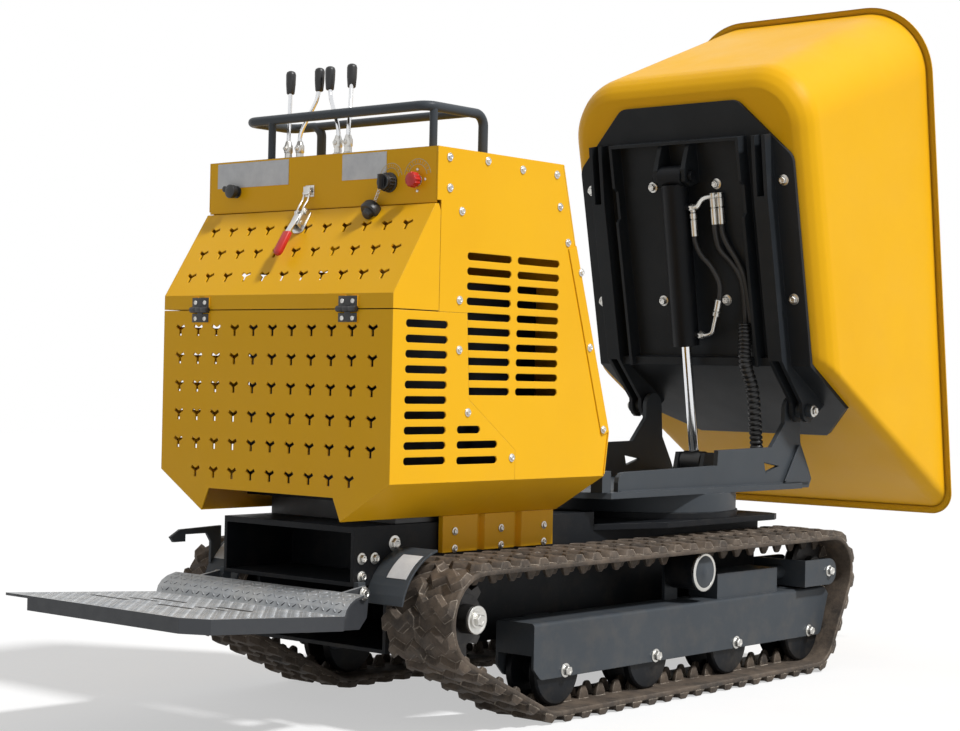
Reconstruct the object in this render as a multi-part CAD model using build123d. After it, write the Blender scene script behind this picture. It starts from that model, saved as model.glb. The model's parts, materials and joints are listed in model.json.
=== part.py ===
from build123d import *
import math
import os

# Site dumper on rubber tracks with a slewing, high-tipping skip.
# Machine frame while modelling: +X forward, +Y left, +Z up, z = 0 on the ground,
# x = 0 on the rear face of the cowl. Every part is moved by FRAME_SHIFT when it is written,
# so that the origin lies under the middle of the machine's box. Millimetres.

# General clearances
SEAT = 0.3
RUNNING = 0.05
SHEET = 3.0
PLATE = 8.0

# Tracks
TRACK_WIDTH = 180.0
MACHINE_WIDTH = 780.0
BELT = 12.0
LUG = 14.0
LUG_PITCH = 60.0
LUG_TOP = 20.0
LUG_FOOT = 34.0
SPROCKET_X, SPROCKET_Z, SPROCKET_R = 222.0, 230.0, 88.0
SPROCKET_HALF, TOOTH_COUNT, TOOTH_DEPTH = 10.0, 10, 20.0
MOTOR_R, FLANGE_R, HUB_R, HUB_CAP_R = 56.0, 64.0, 50.0, 29.0
HUB_REACH, CAP_REACH = 34.0, 66.0
IDLER_X, IDLER_Z, IDLER_R = 1555.0, 243.0, 79.0
IDLER_HUB_R, IDLER_RIM_HALF = 34.0, 10.0
ROLLER_X, ROLLER_GAP, ROLLER_COUNT, ROLLER_R = 513.0, 323.7, 4, 74.0
ROLLER_HUB_R, WHEEL_CHAMFER = 33.0, 4.0
HEEL_X = 462.0
DISC_IN, DISC_OUT = 24.0, 42.0
CARRIER_X, CARRIER_R = 1015.0, 44.0
CARRIER_IN = 15.0
ARC_STEP = math.radians(15)

# Track frames
BEAM_HALF, BEAM_WALL = 51.0, 6.0
BEAM_X0, BEAM_X1 = 421.0, 1589.0
BEAM_Z0, BEAM_Z1 = 86.0, 204.0
BEAM_BEND, BEAM_CORNER = 8.0, 18.0
BEAM_NOSE, BEAM_REAR_CUT = 35.0, 24.0
IDLER_SLOT = 1466.0
AXLE_R = 14.0
FORK_HALF, FORK_PLATE, FORK_R, FORK_X0 = 66.0, 8.0, 32.0, 1440.0
TENSIONER_X0, TENSIONER_X1, TENSIONER_HALF, TENSIONER_TOP = 1108.0, 1366.0, 40.0, 262.0
SLIDER_R = 16.0
ARM_REAR, ARM_FRONT, ARM_HALF, ARM_HIGH = 620.0, 1330.0, 40.0, 56.0
CARRIER_REACH, CARRIER_POST, CARRIER_POST_HALF = 66.0, 34.0, 25.0
END_CAP_FOOT = 137.0

# Chassis between the tracks
CHASSIS_HALF = 188.0
CHASSIS_X0, CHASSIS_X1 = 54.0, 1515.0
CHASSIS_Z0, CHASSIS_Z1 = 291.0, 408.0
KEEL_Z0 = 150.0
KEEL_X0, KEEL_X1 = 150.0, 1500.0
RECESS = 190.0

# Slewing
SLEW_X = 1250.0
RING_R, RING_TOP = 250.0, 395.0
DRUM_STEP = 4.0
TOP_PLATE, SLEW_PLATE = 12.0, 14.0
SLEW_TOP = 380.0
STEP_X = 830.0
SLEW_OUTLINE = [(812.0, 150.0), (830.0, 190.0), (1030.0, 252.0), (1490.0, 252.0), (1522.0, 238.0),
                (1538.0, 205.0)]

# Turret
CHEEK_Y0, CHEEK_Y1 = 210.0, 222.0
TURRET_FLOOR, TURRET_TOP = 439.0, 453.0
TURRET_REAR, TURRET_FRONT = 764.0, 1700.0
TURRET_HALF = 240.0
BOSS_R = 35.0
CHEEK_HOLE = [(1485.0, 508.0), (1493.0, 481.0), (1556.0, 497.0)]
GUSSET = [(1641.0, 549.0), (1574.0, 454.0), (1700.0, 454.0)]
GUSSET_PLATE = 6.0
GUIDE_X0, GUIDE_X1, GUIDE_Y0, GUIDE_Y1, GUIDE_TOP = 800.0, 832.0, -232.0, -200.0, 502.0

TURRET_CUT_REAR, TURRET_CUT_FRONT = 110.0, 40.0

# Skip
HINGE_X, HINGE_Z = 1614.0, 638.0
TIP_ANGLE = 78.4
PIN_R = 17.0
BASE_BOTTOM = -64.0
BASE_THICK, BASE_TAIL = 10.0, 350.0
RIM_FLANGE = 16.0
BASE_HALF, BASE_REAR, BASE_BEND = 326.0, -800.0, -127.0
FLOOR_REAR, FLOOR_HALF = -868.0, 364.0
FOOT_ROUND, FOOT_STEPS = 62.0, 5
FOOT_REAR_R, FOOT_FRONT_R, RIM_FRONT_R = 150.0, 24.0, 60.0
RIM_REAR_X, RIM_REAR_Z = -992.0, 587.0
RIM_FRONT_X, RIM_FRONT_Z = 386.0, 498.0
RIM_HALF = 387.0
RIM_CORNER = 190.0
TUB_WALL = 5.0
RAIL_Y0, RAIL_Y1, RAIL_PLATE = 230.0, 270.0, 10.0
PLATE_CUT, PLATE_ROUND = 150.0, 40.0
FRAME_HEAD, RAIL_DEPTH = 90.0, 40.0
RIB_Y, RIB_PLATE, RIB_END = 190.0, 8.0, -560.0
CROSS_X0, CROSS_X1, CROSS_DEPTH = -152.0, -132.0, 24.0

# Tipping ram
EYE_X, EYE_Z = 1505.0, 500.0
CLEVIS_X, CLEVIS_Z = -621.0, -106.0
BARREL_R, ROD_R, EYE_R, HEAD_R = 34.0, 13.0, 27.0, 28.0
BARREL_LENGTH, ROD_LENGTH = 432.0, 435.0
PORTS, PORT_R, PORT_REACH = (80.0, 405.0), 10.0, 12.0
HOSE_R = 8.0

# Cowl
COWL_HALF = 330.0
COWL_TOP, CONSOLE_FOOT, HATCH_FOOT = 1155.0, 1045.0, 833.0
WAIST, BELLY, BELLY_HALF = 500.0, 421.0, 201.0
CUT_TOP, CUT_HALF = 467.0, 180.0
HATCH_HINGE_Y, HINGE_LINE_X, HINGE_LINE_Z = 213.0, -6.0, HATCH_FOOT + 1.0
CONSOLE_X = 119.0
SKIRT_X0, SKIRT_X1, SKIRT_Z0 = 300.0, 665.0, 345.0
COWL_FRONT_TOP, COWL_FRONT_X = 514.0, 674.0
FRONT_A, FRONT_B = (559.0, 988.0), (687.0, 595.0)
STRIP, STRIP_SHEET = 27.0, 2.0
SLOT_HIGH, SLOT_ROWS = 15.0, 10
VENT_ARM, VENT_HALF = 14.0, 3.5
VENT_PITCH, VENT_COLUMNS = 55.6, 11
VENT_ROWS = (795.0, 737.0, 679.0, 620.0, 562.0)
LAST_ROW, LAST_COLUMNS = 503.0, 9
HATCH_ROWS = (48.0, 107.0, 166.0)
HATCH_BEND = HATCH_FOOT + 31.0
SLEEVE_X, SLEEVE_Y, SLEEVE_BEND, SLEEVE_TOP, SLEEVE_R = 1545.0, -165.0, 480.0, 600.0, 17.0

# Foot and knob of each lever, and place, radius and reach of each control
LEVER_TABLE = [(168, 121, 182, 139), (180, 100, 182, 55), (152, -52, 182, 22), (152, -98, 182, -41)]
KNOB_TABLE = [(-192, 1089, 19, 22), (-262, 1092, 16, 24), (243, 1090, 13, 26), (-208, 1118, 13, 4)]

# Engine, as one block on its mounts
ENGINE_X0, ENGINE_X1, ENGINE_HALF, ENGINE_TOP, MOUNT_HIGH = 150.0, 560.0, 225.0, 900.0, 40.0
RAIL_Z, RAIL_R, CROSS_R, POST_R = 1238.0, 10.0, 9.0, 8.0
RAIL_REAR, RAIL_FRONT, RAIL_FOOT = 130.0, 260.0, 300.0
RAIL_LEFT, RAIL_RIGHT, RAIL_BEND = 225.0, -288.0, 24.0
RAIL_LEG = 134.0

# Platform
DECK_REAR, DECK_FRONT = -430.0, -54.0
DECK_HALF, DECK_FRONT_Z, DECK_REAR_Z, DECK_THICK = 273.0, 250.0, 274.0, 5.0
DECK_SKIRT, DECK_CORNER, DECK_OVERHANG = 28.0, 40.0, 70.0
SKIRT_SHEET = 4.0
KICK = [(-50.0, 262.0), (-40.0, 273.0), (-26.0, 281.0), (-2.0, 287.0)]
ARM_Y0, ARM_Y1, ARM_END, FOLD_PIN = 202.0, 210.0, 17.0, 9.0
FOLD_X, FOLD_Z = 60.0, 280.0
FENDER_R, FENDER_SHEET, FENDER_OUT = 134.0, 4.0, 288.0
FENDER_FROM, FENDER_TO = 104.0, 168.0
HOOK_Y0, HOOK_Y1 = 280.0, 287.0


def prism_y(points, y0, y1):
    face = make_face(Polyline(*[(x, y0, z) for x, z in points], close=True))
    return extrude(face, amount=y1 - y0, dir=(0, 1, 0))


def prism_x(points, x0, x1):
    face = make_face(Polyline(*[(x0, y, z) for y, z in points], close=True))
    return extrude(face, amount=x1 - x0, dir=(1, 0, 0))


def prism_z(points, z0, z1):
    face = make_face(Polyline(*[(x, y, z0) for x, y in points], close=True))
    return extrude(face, amount=z1 - z0, dir=(0, 0, 1))


def box(x0, x1, y0, y1, z0, z1):
    return Pos((x0 + x1) / 2, (y0 + y1) / 2, (z0 + z1) / 2) * Box(abs(x1 - x0), abs(y1 - y0), abs(z1 - z0))


def rod(start, end, radius):
    a, b = Vector(*start), Vector(*end)
    return Plane(origin=(a + b) / 2, z_dir=b - a) * Cylinder(radius, (b - a).length)


def mirror_y(shape):
    return mirror(shape, about=Plane.XZ)


def fused(shapes):
    result = shapes[0]
    for shape in shapes[1:]:
        result = result + shape
    return result


def sheet(points, thickness):
    """Closed outline of a folded sheet: the points and their offset to the left."""
    offset = []
    for i, (x, y) in enumerate(points):
        normals = []
        for a, b in ((i - 1, i), (i, i + 1)):
            if a >= 0 and b < len(points):
                dx, dy = points[b][0] - points[a][0], points[b][1] - points[a][1]
                length = math.hypot(dx, dy)
                normals.append((-dy / length, dx / length))
        nx = sum(n[0] for n in normals) / len(normals)
        ny = sum(n[1] for n in normals) / len(normals)
        scale = thickness / (nx * nx + ny * ny)
        offset.append((x + nx * scale, y + ny * scale))
    return list(points) + offset[::-1]


# Tracks

def track_circles():
    lift = BELT + LUG + ROLLER_R
    last = ROLLER_X + ROLLER_GAP * (ROLLER_COUNT - 1)
    return [(SPROCKET_X, SPROCKET_Z, SPROCKET_R), (HEEL_X, lift, ROLLER_R), (last, lift, ROLLER_R),
            (IDLER_X, IDLER_Z, IDLER_R)]


def belt_path():
    """Straight runs and arcs round the wheels, counter-clockwise seen from the right."""
    circles = track_circles()
    tangents = []
    for i, (x0, z0, r0) in enumerate(circles):
        x1, z1, r1 = circles[(i + 1) % len(circles)]
        length = math.hypot(x1 - x0, z1 - z0)
        heading = math.atan2(z1 - z0, x1 - x0)
        tangents.append(heading - math.acos((r0 - r1) / length))
    pieces = []
    for i, (x, z, r) in enumerate(circles):
        start, end = tangents[i - 1], tangents[i]
        while end < start:
            end += 2 * math.pi
        pieces.append(("arc", x, z, r, start, end))
        x1, z1, r1 = circles[(i + 1) % len(circles)]
        a = (x + r * math.cos(end), z + r * math.sin(end))
        b = (x1 + r1 * math.cos(end), z1 + r1 * math.sin(end))
        pieces.append(("run", a, b, end))
    return pieces


def belt_length(pieces, offset):
    total = 0.0
    for piece in pieces:
        if piece[0] == "arc":
            total += (piece[3] + offset) * (piece[5] - piece[4])
        else:
            total += math.dist(piece[1], piece[2])
    return total


def belt_point(pieces, s, offset):
    """Point and outward angle at distance s along the belt's pitch line."""
    s %= belt_length(pieces, offset)
    for piece in pieces:
        if piece[0] == "arc":
            length = (piece[3] + offset) * (piece[5] - piece[4])
            if s <= length:
                angle = piece[4] + s / (piece[3] + offset)
                radius = piece[3] + offset
                return piece[1] + radius * math.cos(angle), piece[2] + radius * math.sin(angle), angle
        else:
            length = math.dist(piece[1], piece[2])
            if s <= length:
                t = s / length
                x = piece[1][0] * (1 - t) + piece[2][0] * t + offset * math.cos(piece[3])
                z = piece[1][1] * (1 - t) + piece[2][1] * t + offset * math.sin(piece[3])
                return x, z, piece[3]
        s -= length
    return belt_point(pieces, 0.0, offset)


def track_row(phase, y0, y1):
    """One row of lugs across part of the track's width, with the belt under it."""
    pieces = belt_path()
    pitch_line = BELT / 2
    total = belt_length(pieces, pitch_line)
    count = round(total / LUG_PITCH)
    outline = []
    for i in range(count):
        s = (i + phase) * total / count
        for along, out in ((-LUG_FOOT / 2, 0), (-LUG_TOP / 2, LUG), (LUG_TOP / 2, LUG), (LUG_FOOT / 2, 0)):
            x, z, angle = belt_point(pieces, s + along, pitch_line)
            reach = BELT / 2 + out
            outline.append((x + reach * math.cos(angle), z + reach * math.sin(angle)))
    return prism_y(outline, y0, y1) - prism_y(inside_outline(pieces), y0, y1)


def inside_outline(pieces):
    """The belt's inner face: each arc as the polygon that touches it from outside."""
    points = []
    for piece in pieces:
        if piece[0] != "arc":
            continue
        x, z, radius, start, end = piece[1:]
        steps = max(1, round((end - start) / ARC_STEP))
        step = (end - start) / steps
        points.append((x + radius * math.cos(start), z + radius * math.sin(start)))
        for k in range(steps):
            angle = start + (k + 0.5) * step
            reach = radius / math.cos(step / 2)
            points.append((x + reach * math.cos(angle), z + reach * math.sin(angle)))
        points.append((x + radius * math.cos(end), z + radius * math.sin(end)))
    return points


def track():
    outer = MACHINE_WIDTH / 2
    middle = outer - TRACK_WIDTH / 2
    inner = outer - TRACK_WIDTH
    return track_row(0.0, middle, outer) + track_row(0.5, inner, middle)


def track_middle():
    return MACHINE_WIDTH / 2 - TRACK_WIDTH / 2


def roller_height():
    return BELT + LUG + ROLLER_R


def turned(x, z, profile):
    """Body of revolution about an axis along Y; the profile lists (y, radius)."""
    points = [(x, profile[0][0], z)] + [(x + r, y, z) for y, r in profile] + [(x, profile[-1][0], z)]
    return revolve(make_face(Polyline(*points, close=True)), Axis((x, 0, z), (0, 1, 0)))


def two_sided(middle, half_profile):
    """Profile about the middle of a wheel, from the (distance, radius) pairs of one side."""
    return ([(middle - y, r) for y, r in half_profile] + [(middle + y, r) for y, r in reversed(half_profile)])


def road_rollers():
    rim = ROLLER_R - SEAT
    profile = two_sided(track_middle(), [(BEAM_HALF - BEAM_WALL, AXLE_R), (DISC_OUT, AXLE_R),
                                         (DISC_OUT, rim - WHEEL_CHAMFER), (DISC_OUT - WHEEL_CHAMFER, rim),
                                         (DISC_IN, rim), (DISC_IN, ROLLER_HUB_R)])
    return [turned(ROLLER_X + i * ROLLER_GAP, roller_height(), profile) for i in range(ROLLER_COUNT)]


def top_run(x):
    """Height of the belt's inner face on the top run."""
    rise = (IDLER_Z + IDLER_R) - (SPROCKET_Z + SPROCKET_R)
    return SPROCKET_Z + SPROCKET_R + rise * (x - SPROCKET_X) / (IDLER_X - SPROCKET_X)


def carrier_height():
    return top_run(CARRIER_X) - CARRIER_R - SEAT


def carrier_roller():
    y = track_middle()
    rim = CARRIER_R - SEAT
    return turned(CARRIER_X, carrier_height(),
                  [(y - CARRIER_IN - 10 + SEAT, AXLE_R), (y - CARRIER_IN, AXLE_R), (y - CARRIER_IN, rim),
                   (y + CARRIER_REACH - WHEEL_CHAMFER, rim), (y + CARRIER_REACH, rim - WHEEL_CHAMFER)])


def sprocket():
    """Toothed wheel on a hub motor that is bolted to the chassis side."""
    y = track_middle()
    tip, root = SPROCKET_R - SEAT, SPROCKET_R - TOOTH_DEPTH
    outline = []
    for i in range(TOOTH_COUNT):
        for share, radius in ((-0.32, root), (-0.16, tip), (0.16, tip), (0.32, root)):
            angle = (i + share) * 2 * math.pi / TOOTH_COUNT
            outline.append((SPROCKET_X + radius * math.cos(angle), SPROCKET_Z + radius * math.sin(angle)))
    wheel = prism_y(outline, y - SPROCKET_HALF, y + SPROCKET_HALF)
    motor = turned(SPROCKET_X, SPROCKET_Z,
                   [(CHASSIS_HALF, MOTOR_R), (y - 2 * SPROCKET_HALF, MOTOR_R),
                    (y - 2 * SPROCKET_HALF, FLANGE_R),
                    (y + SPROCKET_HALF, FLANGE_R), (y + SPROCKET_HALF, HUB_R), (y + HUB_REACH, HUB_R),
                    (y + HUB_REACH, HUB_CAP_R), (y + CAP_REACH - WHEEL_CHAMFER, HUB_CAP_R),
                    (y + CAP_REACH, HUB_CAP_R - WHEEL_CHAMFER)])
    return wheel + motor


def idler():
    rim = IDLER_R - SEAT
    face = IDLER_RIM_HALF + 6
    return turned(IDLER_X, IDLER_Z,
                  two_sided(track_middle(), [(FORK_HALF, AXLE_R), (2 * face, AXLE_R), (2 * face, IDLER_HUB_R),
                                             (face, IDLER_HUB_R), (face, rim - 6), (IDLER_RIM_HALF, rim)]))


def track_frame():
    """Channel beam, open below, with the tensioner, the idler's fork and two arms to the chassis."""
    inner = BEAM_HALF - BEAM_WALL
    path = [(-BEAM_HALF, BEAM_Z0), (-BEAM_HALF, BEAM_Z1), (BEAM_HALF, BEAM_Z1), (BEAM_HALF, BEAM_Z0)]
    beam = prism_x(sheet(path, -BEAM_WALL), BEAM_X0, BEAM_X1)
    top = [e for e in beam.edges().filter_by(Axis.X)
           if e.center().Z > BEAM_Z1 - 1 and abs(e.center().Y) > BEAM_HALF - 1]
    beam = fillet(top, BEAM_BEND)
    beam &= prism_y([(BEAM_X0, BEAM_Z1 + 1), (BEAM_X1 - 20, BEAM_Z1 + 1), (BEAM_X1, BEAM_Z1 - 20),
                     (BEAM_X1 - BEAM_NOSE, BEAM_Z0), (BEAM_X0 + BEAM_REAR_CUT, BEAM_Z0),
                     (BEAM_X0, BEAM_Z0 + BEAM_REAR_CUT)], -BEAM_HALF - 1, BEAM_HALF + 1)
    across = beam.edges().filter_by(Axis.Y)
    low = [e for e in across if e.center().Z < BEAM_Z0 + 1 and e.length < 2 * BEAM_WALL]
    beam = fillet(low, BEAM_CORNER)
    beam -= box(IDLER_SLOT, BEAM_X1 + 1, -IDLER_HUB_R, IDLER_HUB_R, BEAM_Z1 - BEAM_WALL - 1, BEAM_Z1 + 1)
    parts = [beam, box(BEAM_X0, BEAM_X0 + BEAM_WALL, -inner, inner, END_CAP_FOOT, BEAM_Z1 - BEAM_WALL)]
    for x in (ARM_REAR, ARM_FRONT):
        top_z = BEAM_Z1 - BEAM_BEND - 2
        parts.append(box(x - ARM_HALF, x + ARM_HALF, CHASSIS_HALF - track_middle(), -inner,
                         top_z - ARM_HIGH, top_z))
    parts.append(box(TENSIONER_X0, TENSIONER_X1, -TENSIONER_HALF, TENSIONER_HALF, BEAM_Z1, TENSIONER_TOP))
    parts.append(rod((TENSIONER_X1 - 5, 0, IDLER_Z), (FORK_X0 + 5, 0, IDLER_Z), SLIDER_R))
    wide = FORK_HALF + FORK_PLATE
    parts.append(box(FORK_X0, FORK_X0 + FORK_PLATE, -wide, wide, IDLER_Z - FORK_R, IDLER_Z + FORK_R))
    for side in (-1, 1):
        y0, y1 = side * FORK_HALF, side * wide
        parts.append(box(FORK_X0, IDLER_X, y0, y1, IDLER_Z - FORK_R, IDLER_Z + FORK_R))
        parts.append(rod((IDLER_X, y0, IDLER_Z), (IDLER_X, y1, IDLER_Z), FORK_R))
    post_y = -CARRIER_IN - 10
    parts.append(box(CARRIER_X - CARRIER_POST_HALF, CARRIER_X + CARRIER_POST_HALF, -CARRIER_POST, post_y,
                     BEAM_Z1, carrier_height() + AXLE_R))
    return Pos(0, track_middle(), 0) * fused(parts)


# Chassis

def mirrored_outline(half):
    """Closed plan outline from the points of its left half."""
    return half + [(x, -y) for x, y in reversed(half)]


def chassis_frame():
    """Box between the tracks: tall and open at the rear, stepped down under the slewing plate."""
    side = [(CHASSIS_X0, CHASSIS_Z0), (CHASSIS_X1, CHASSIS_Z0), (CHASSIS_X1, SLEW_TOP - SLEW_PLATE),
            (STEP_X, SLEW_TOP - SLEW_PLATE), (STEP_X, CHASSIS_Z1), (CHASSIS_X0, CHASSIS_Z1)]
    inner = CHASSIS_HALF - PLATE
    parts = [prism_y(side, s * CHASSIS_HALF, s * inner) for s in (-1, 1)]
    parts += [box(KEEL_X0, KEEL_X1, s * CHASSIS_HALF, s * inner, KEEL_Z0, CHASSIS_Z0) for s in (-1, 1)]
    parts.append(box(CHASSIS_X0, STEP_X, -CHASSIS_HALF, CHASSIS_HALF, CHASSIS_Z1 - TOP_PLATE, CHASSIS_Z1))
    parts.append(prism_z(mirrored_outline(SLEW_OUTLINE), SLEW_TOP - SLEW_PLATE, SLEW_TOP))
    parts.append(box(KEEL_X0, KEEL_X1, -CHASSIS_HALF, CHASSIS_HALF, KEEL_Z0, KEEL_Z0 + PLATE))
    parts.append(box(STEP_X - PLATE, STEP_X, -inner, inner, SLEW_TOP - SLEW_PLATE, CHASSIS_Z1))
    wall = CHASSIS_X0 + RECESS
    parts.append(box(wall, wall + PLATE, -CHASSIS_HALF, CHASSIS_HALF, CHASSIS_Z0, CHASSIS_Z1))
    parts.append(box(CHASSIS_X0, wall + PLATE, -CHASSIS_HALF, CHASSIS_HALF, CHASSIS_Z0, CHASSIS_Z0 + PLATE))
    return fused(parts)


def slew_base():
    return rod((SLEW_X, 0, SLEW_TOP), (SLEW_X, 0, RING_TOP - SEAT), RING_R)


def cheek_outline():
    """Side plate of the turret: low at the rear, raised round the skip's hinge boss."""
    points = [(873, TURRET_FLOOR), (873, 474), (877, 486), (886, 494), (898, 497), (1275, 504), (1278, 541),
              (1520, 545), (1579, 606), (HINGE_X - BOSS_R, HINGE_Z)]
    for degrees in range(20, 181, 20):
        angle = math.radians(degrees)
        points.append((HINGE_X - BOSS_R * math.cos(angle), HINGE_Z + BOSS_R * math.sin(angle)))
    return points + [(1656, 555), (1700, 486), (1713, 462), (1701, TURRET_FLOOR)]


def turret_frame():
    """Slewing floor on its drum, with two cheeks for the skip's hinge and two ears for the ram."""
    half = [(TURRET_REAR, TURRET_HALF - TURRET_CUT_REAR), (TURRET_REAR + 60, TURRET_HALF),
            (TURRET_FRONT - 60, TURRET_HALF), (TURRET_FRONT, TURRET_HALF - TURRET_CUT_FRONT)]
    parts = [prism_z(mirrored_outline(half), TURRET_FLOOR, TURRET_TOP),
             rod((SLEW_X, 0, RING_TOP), (SLEW_X, 0, TURRET_FLOOR), RING_R - DRUM_STEP)]
    hole = prism_y(CHEEK_HOLE, CHEEK_Y0 - 1, CHEEK_Y1 + 1)
    cheek = prism_y(cheek_outline(), CHEEK_Y0, CHEEK_Y1) - hole
    cheek += prism_y(GUSSET, CHEEK_Y1, CHEEK_Y1 + GUSSET_PLATE)
    pin = rod((HINGE_X, CHEEK_Y0, HINGE_Z), (HINGE_X, RAIL_Y1 + 14, HINGE_Z), PIN_R)
    ear = prism_y([(EYE_X - 40, TURRET_TOP), (EYE_X - 22, EYE_Z + 24), (EYE_X + 22, EYE_Z + 24),
                   (EYE_X + 40, TURRET_TOP)], 34, 46)
    for one in (cheek, pin, ear):
        parts += [one, mirror_y(one)]
    guide = box(GUIDE_X0, GUIDE_X1, GUIDE_Y0, GUIDE_Y1, TURRET_TOP, GUIDE_TOP)
    guide -= box(GUIDE_X0 + 6, GUIDE_X1 - 6, GUIDE_Y0 + 6, GUIDE_Y1 + 1, TURRET_TOP + 6, GUIDE_TOP + 1)
    return fused(parts + [guide])


# Skip, modelled lowered with the hinge at the origin

def skip_frame_local():
    """Base plate bent up under the tub's front, two box rails, inner ribs and the ram's clevis."""
    thick = BASE_THICK
    slope = front_slope()
    end = (BASE_BEND + BASE_TAIL * math.cos(slope), BASE_BOTTOM + BASE_TAIL * math.sin(slope))
    line = [(BASE_REAR, BASE_BOTTOM), (BASE_BEND, BASE_BOTTOM), end]
    plate = prism_y(sheet(line, thick), -BASE_HALF, BASE_HALF)
    for side in (-1, 1):
        cut = [(BASE_REAR - 1, side * (BASE_HALF + 1)), (BASE_REAR + PLATE_CUT, side * (BASE_HALF + 1)),
               (BASE_REAR - 1, side * (BASE_HALF - PLATE_CUT))]
        plate -= prism_z(cut, BASE_BOTTOM - 1, BASE_BOTTOM + thick + 1)
        edge = side * (BASE_HALF + 1)
        taper = [(10, edge), (200, edge), (200, side * 120), (115, side * 190)]
        plate -= prism_z(taper, 0, 300)
    corners = [e for e in plate.edges().filter_by(Axis.Z) if e.center().X < BASE_REAR + PLATE_CUT + 5]
    plate = fillet(corners, PLATE_ROUND)
    head = BASE_REAR + FRAME_HEAD
    low = BASE_BOTTOM - RAIL_DEPTH
    rail = [(head, BASE_BOTTOM), (head, BASE_BOTTOM - 30), (RIB_END, low), (BASE_BEND - 20, low), (-26, -28)]
    rail += [(30 * math.sin(math.radians(a)), -30 * math.cos(math.radians(a))) for a in (0, 30, 60, 90)]
    rail += [(BASE_BEND + 190 * math.cos(slope), BASE_BOTTOM + 190 * math.sin(slope)),
             (BASE_BEND, BASE_BOTTOM)]
    bore = rod((0, RAIL_Y0 - 5, 0), (0, RAIL_Y1 + 5, 0), PIN_R + RUNNING)
    outer = [prism_y(rail, RAIL_Y0, RAIL_Y0 + RAIL_PLATE) - bore,
             prism_y(rail, RAIL_Y1 - RAIL_PLATE, RAIL_Y1) - bore]
    outer.append(box(RIB_END, BASE_BEND - 20, RAIL_Y0, RAIL_Y1, low, low + RIB_PLATE))
    rib = [(head, BASE_BOTTOM), (head, low), (head + 110, low), (head + 120, low + 12),
           (RIB_END + 40, low + 12),
           (RIB_END + 50, low), (CROSS_X1, low), (CROSS_X1, BASE_BOTTOM)]
    outer.append(prism_y(rib, RIB_Y, RIB_Y + RIB_PLATE))
    clevis_bore = rod((CLEVIS_X, 20, CLEVIS_Z), (CLEVIS_X, 60, CLEVIS_Z), 14 + RUNNING)
    ear = [(head + 6, BASE_BOTTOM), (head + 6, BASE_BOTTOM - 30), (CLEVIS_X - 20, CLEVIS_Z - 22),
           (CLEVIS_X + 10, CLEVIS_Z - 24), (CLEVIS_X + 26, CLEVIS_Z), (CLEVIS_X + 20, BASE_BOTTOM)]
    outer.append(prism_y(ear, 36, 48) - clevis_bore)
    parts = [plate]
    for one in outer:
        parts += [one, mirror_y(one)]
    parts.append(box(head, head + RIB_PLATE, -RIB_Y - 1, RIB_Y + 1, low, BASE_BOTTOM))
    parts.append(box(CROSS_X0, CROSS_X1, -RAIL_Y0 - 1, RAIL_Y0 + 1, BASE_BOTTOM - CROSS_DEPTH, BASE_BOTTOM))
    return fused(parts)


def tub_section(x0, x1, half, rear_radius, front_radius):
    """Plan outline of the skip, with larger corners at the rear."""
    sketch = Pos((x0 + x1) / 2, 0, 0) * Rectangle(x1 - x0, 2 * half)
    rear = [v for v in sketch.vertices() if v.X < (x0 + x1) / 2]
    sketch = fillet(rear, rear_radius)
    front = [v for v in sketch.vertices() if abs(v.X - x1) < 0.01]
    return fillet(front, front_radius)


def rim_direction():
    dx, dz = RIM_FRONT_X - RIM_REAR_X, RIM_FRONT_Z - RIM_REAR_Z
    length = math.hypot(dx, dz)
    return dx / length, dz / length


def front_slope():
    """Angle of the front wall: from the bend of the base plate to the rim, less its flange."""
    ux, uz = rim_direction()
    top = (RIM_FRONT_X - RIM_FLANGE * ux, RIM_FRONT_Z - RIM_FLANGE * uz)
    slope = math.atan2(top[1] - BASE_BOTTOM, top[0] - BASE_BEND)
    lift = BASE_THICK + SEAT
    for _ in range(20):
        foot_x = BASE_BEND - lift * math.tan(slope / 2)
        slope = math.atan2(top[1] - BASE_BOTTOM - lift, top[0] - foot_x)
    return slope


def tub_foot():
    return BASE_BEND - (BASE_THICK + SEAT) * math.tan(front_slope() / 2)


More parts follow.
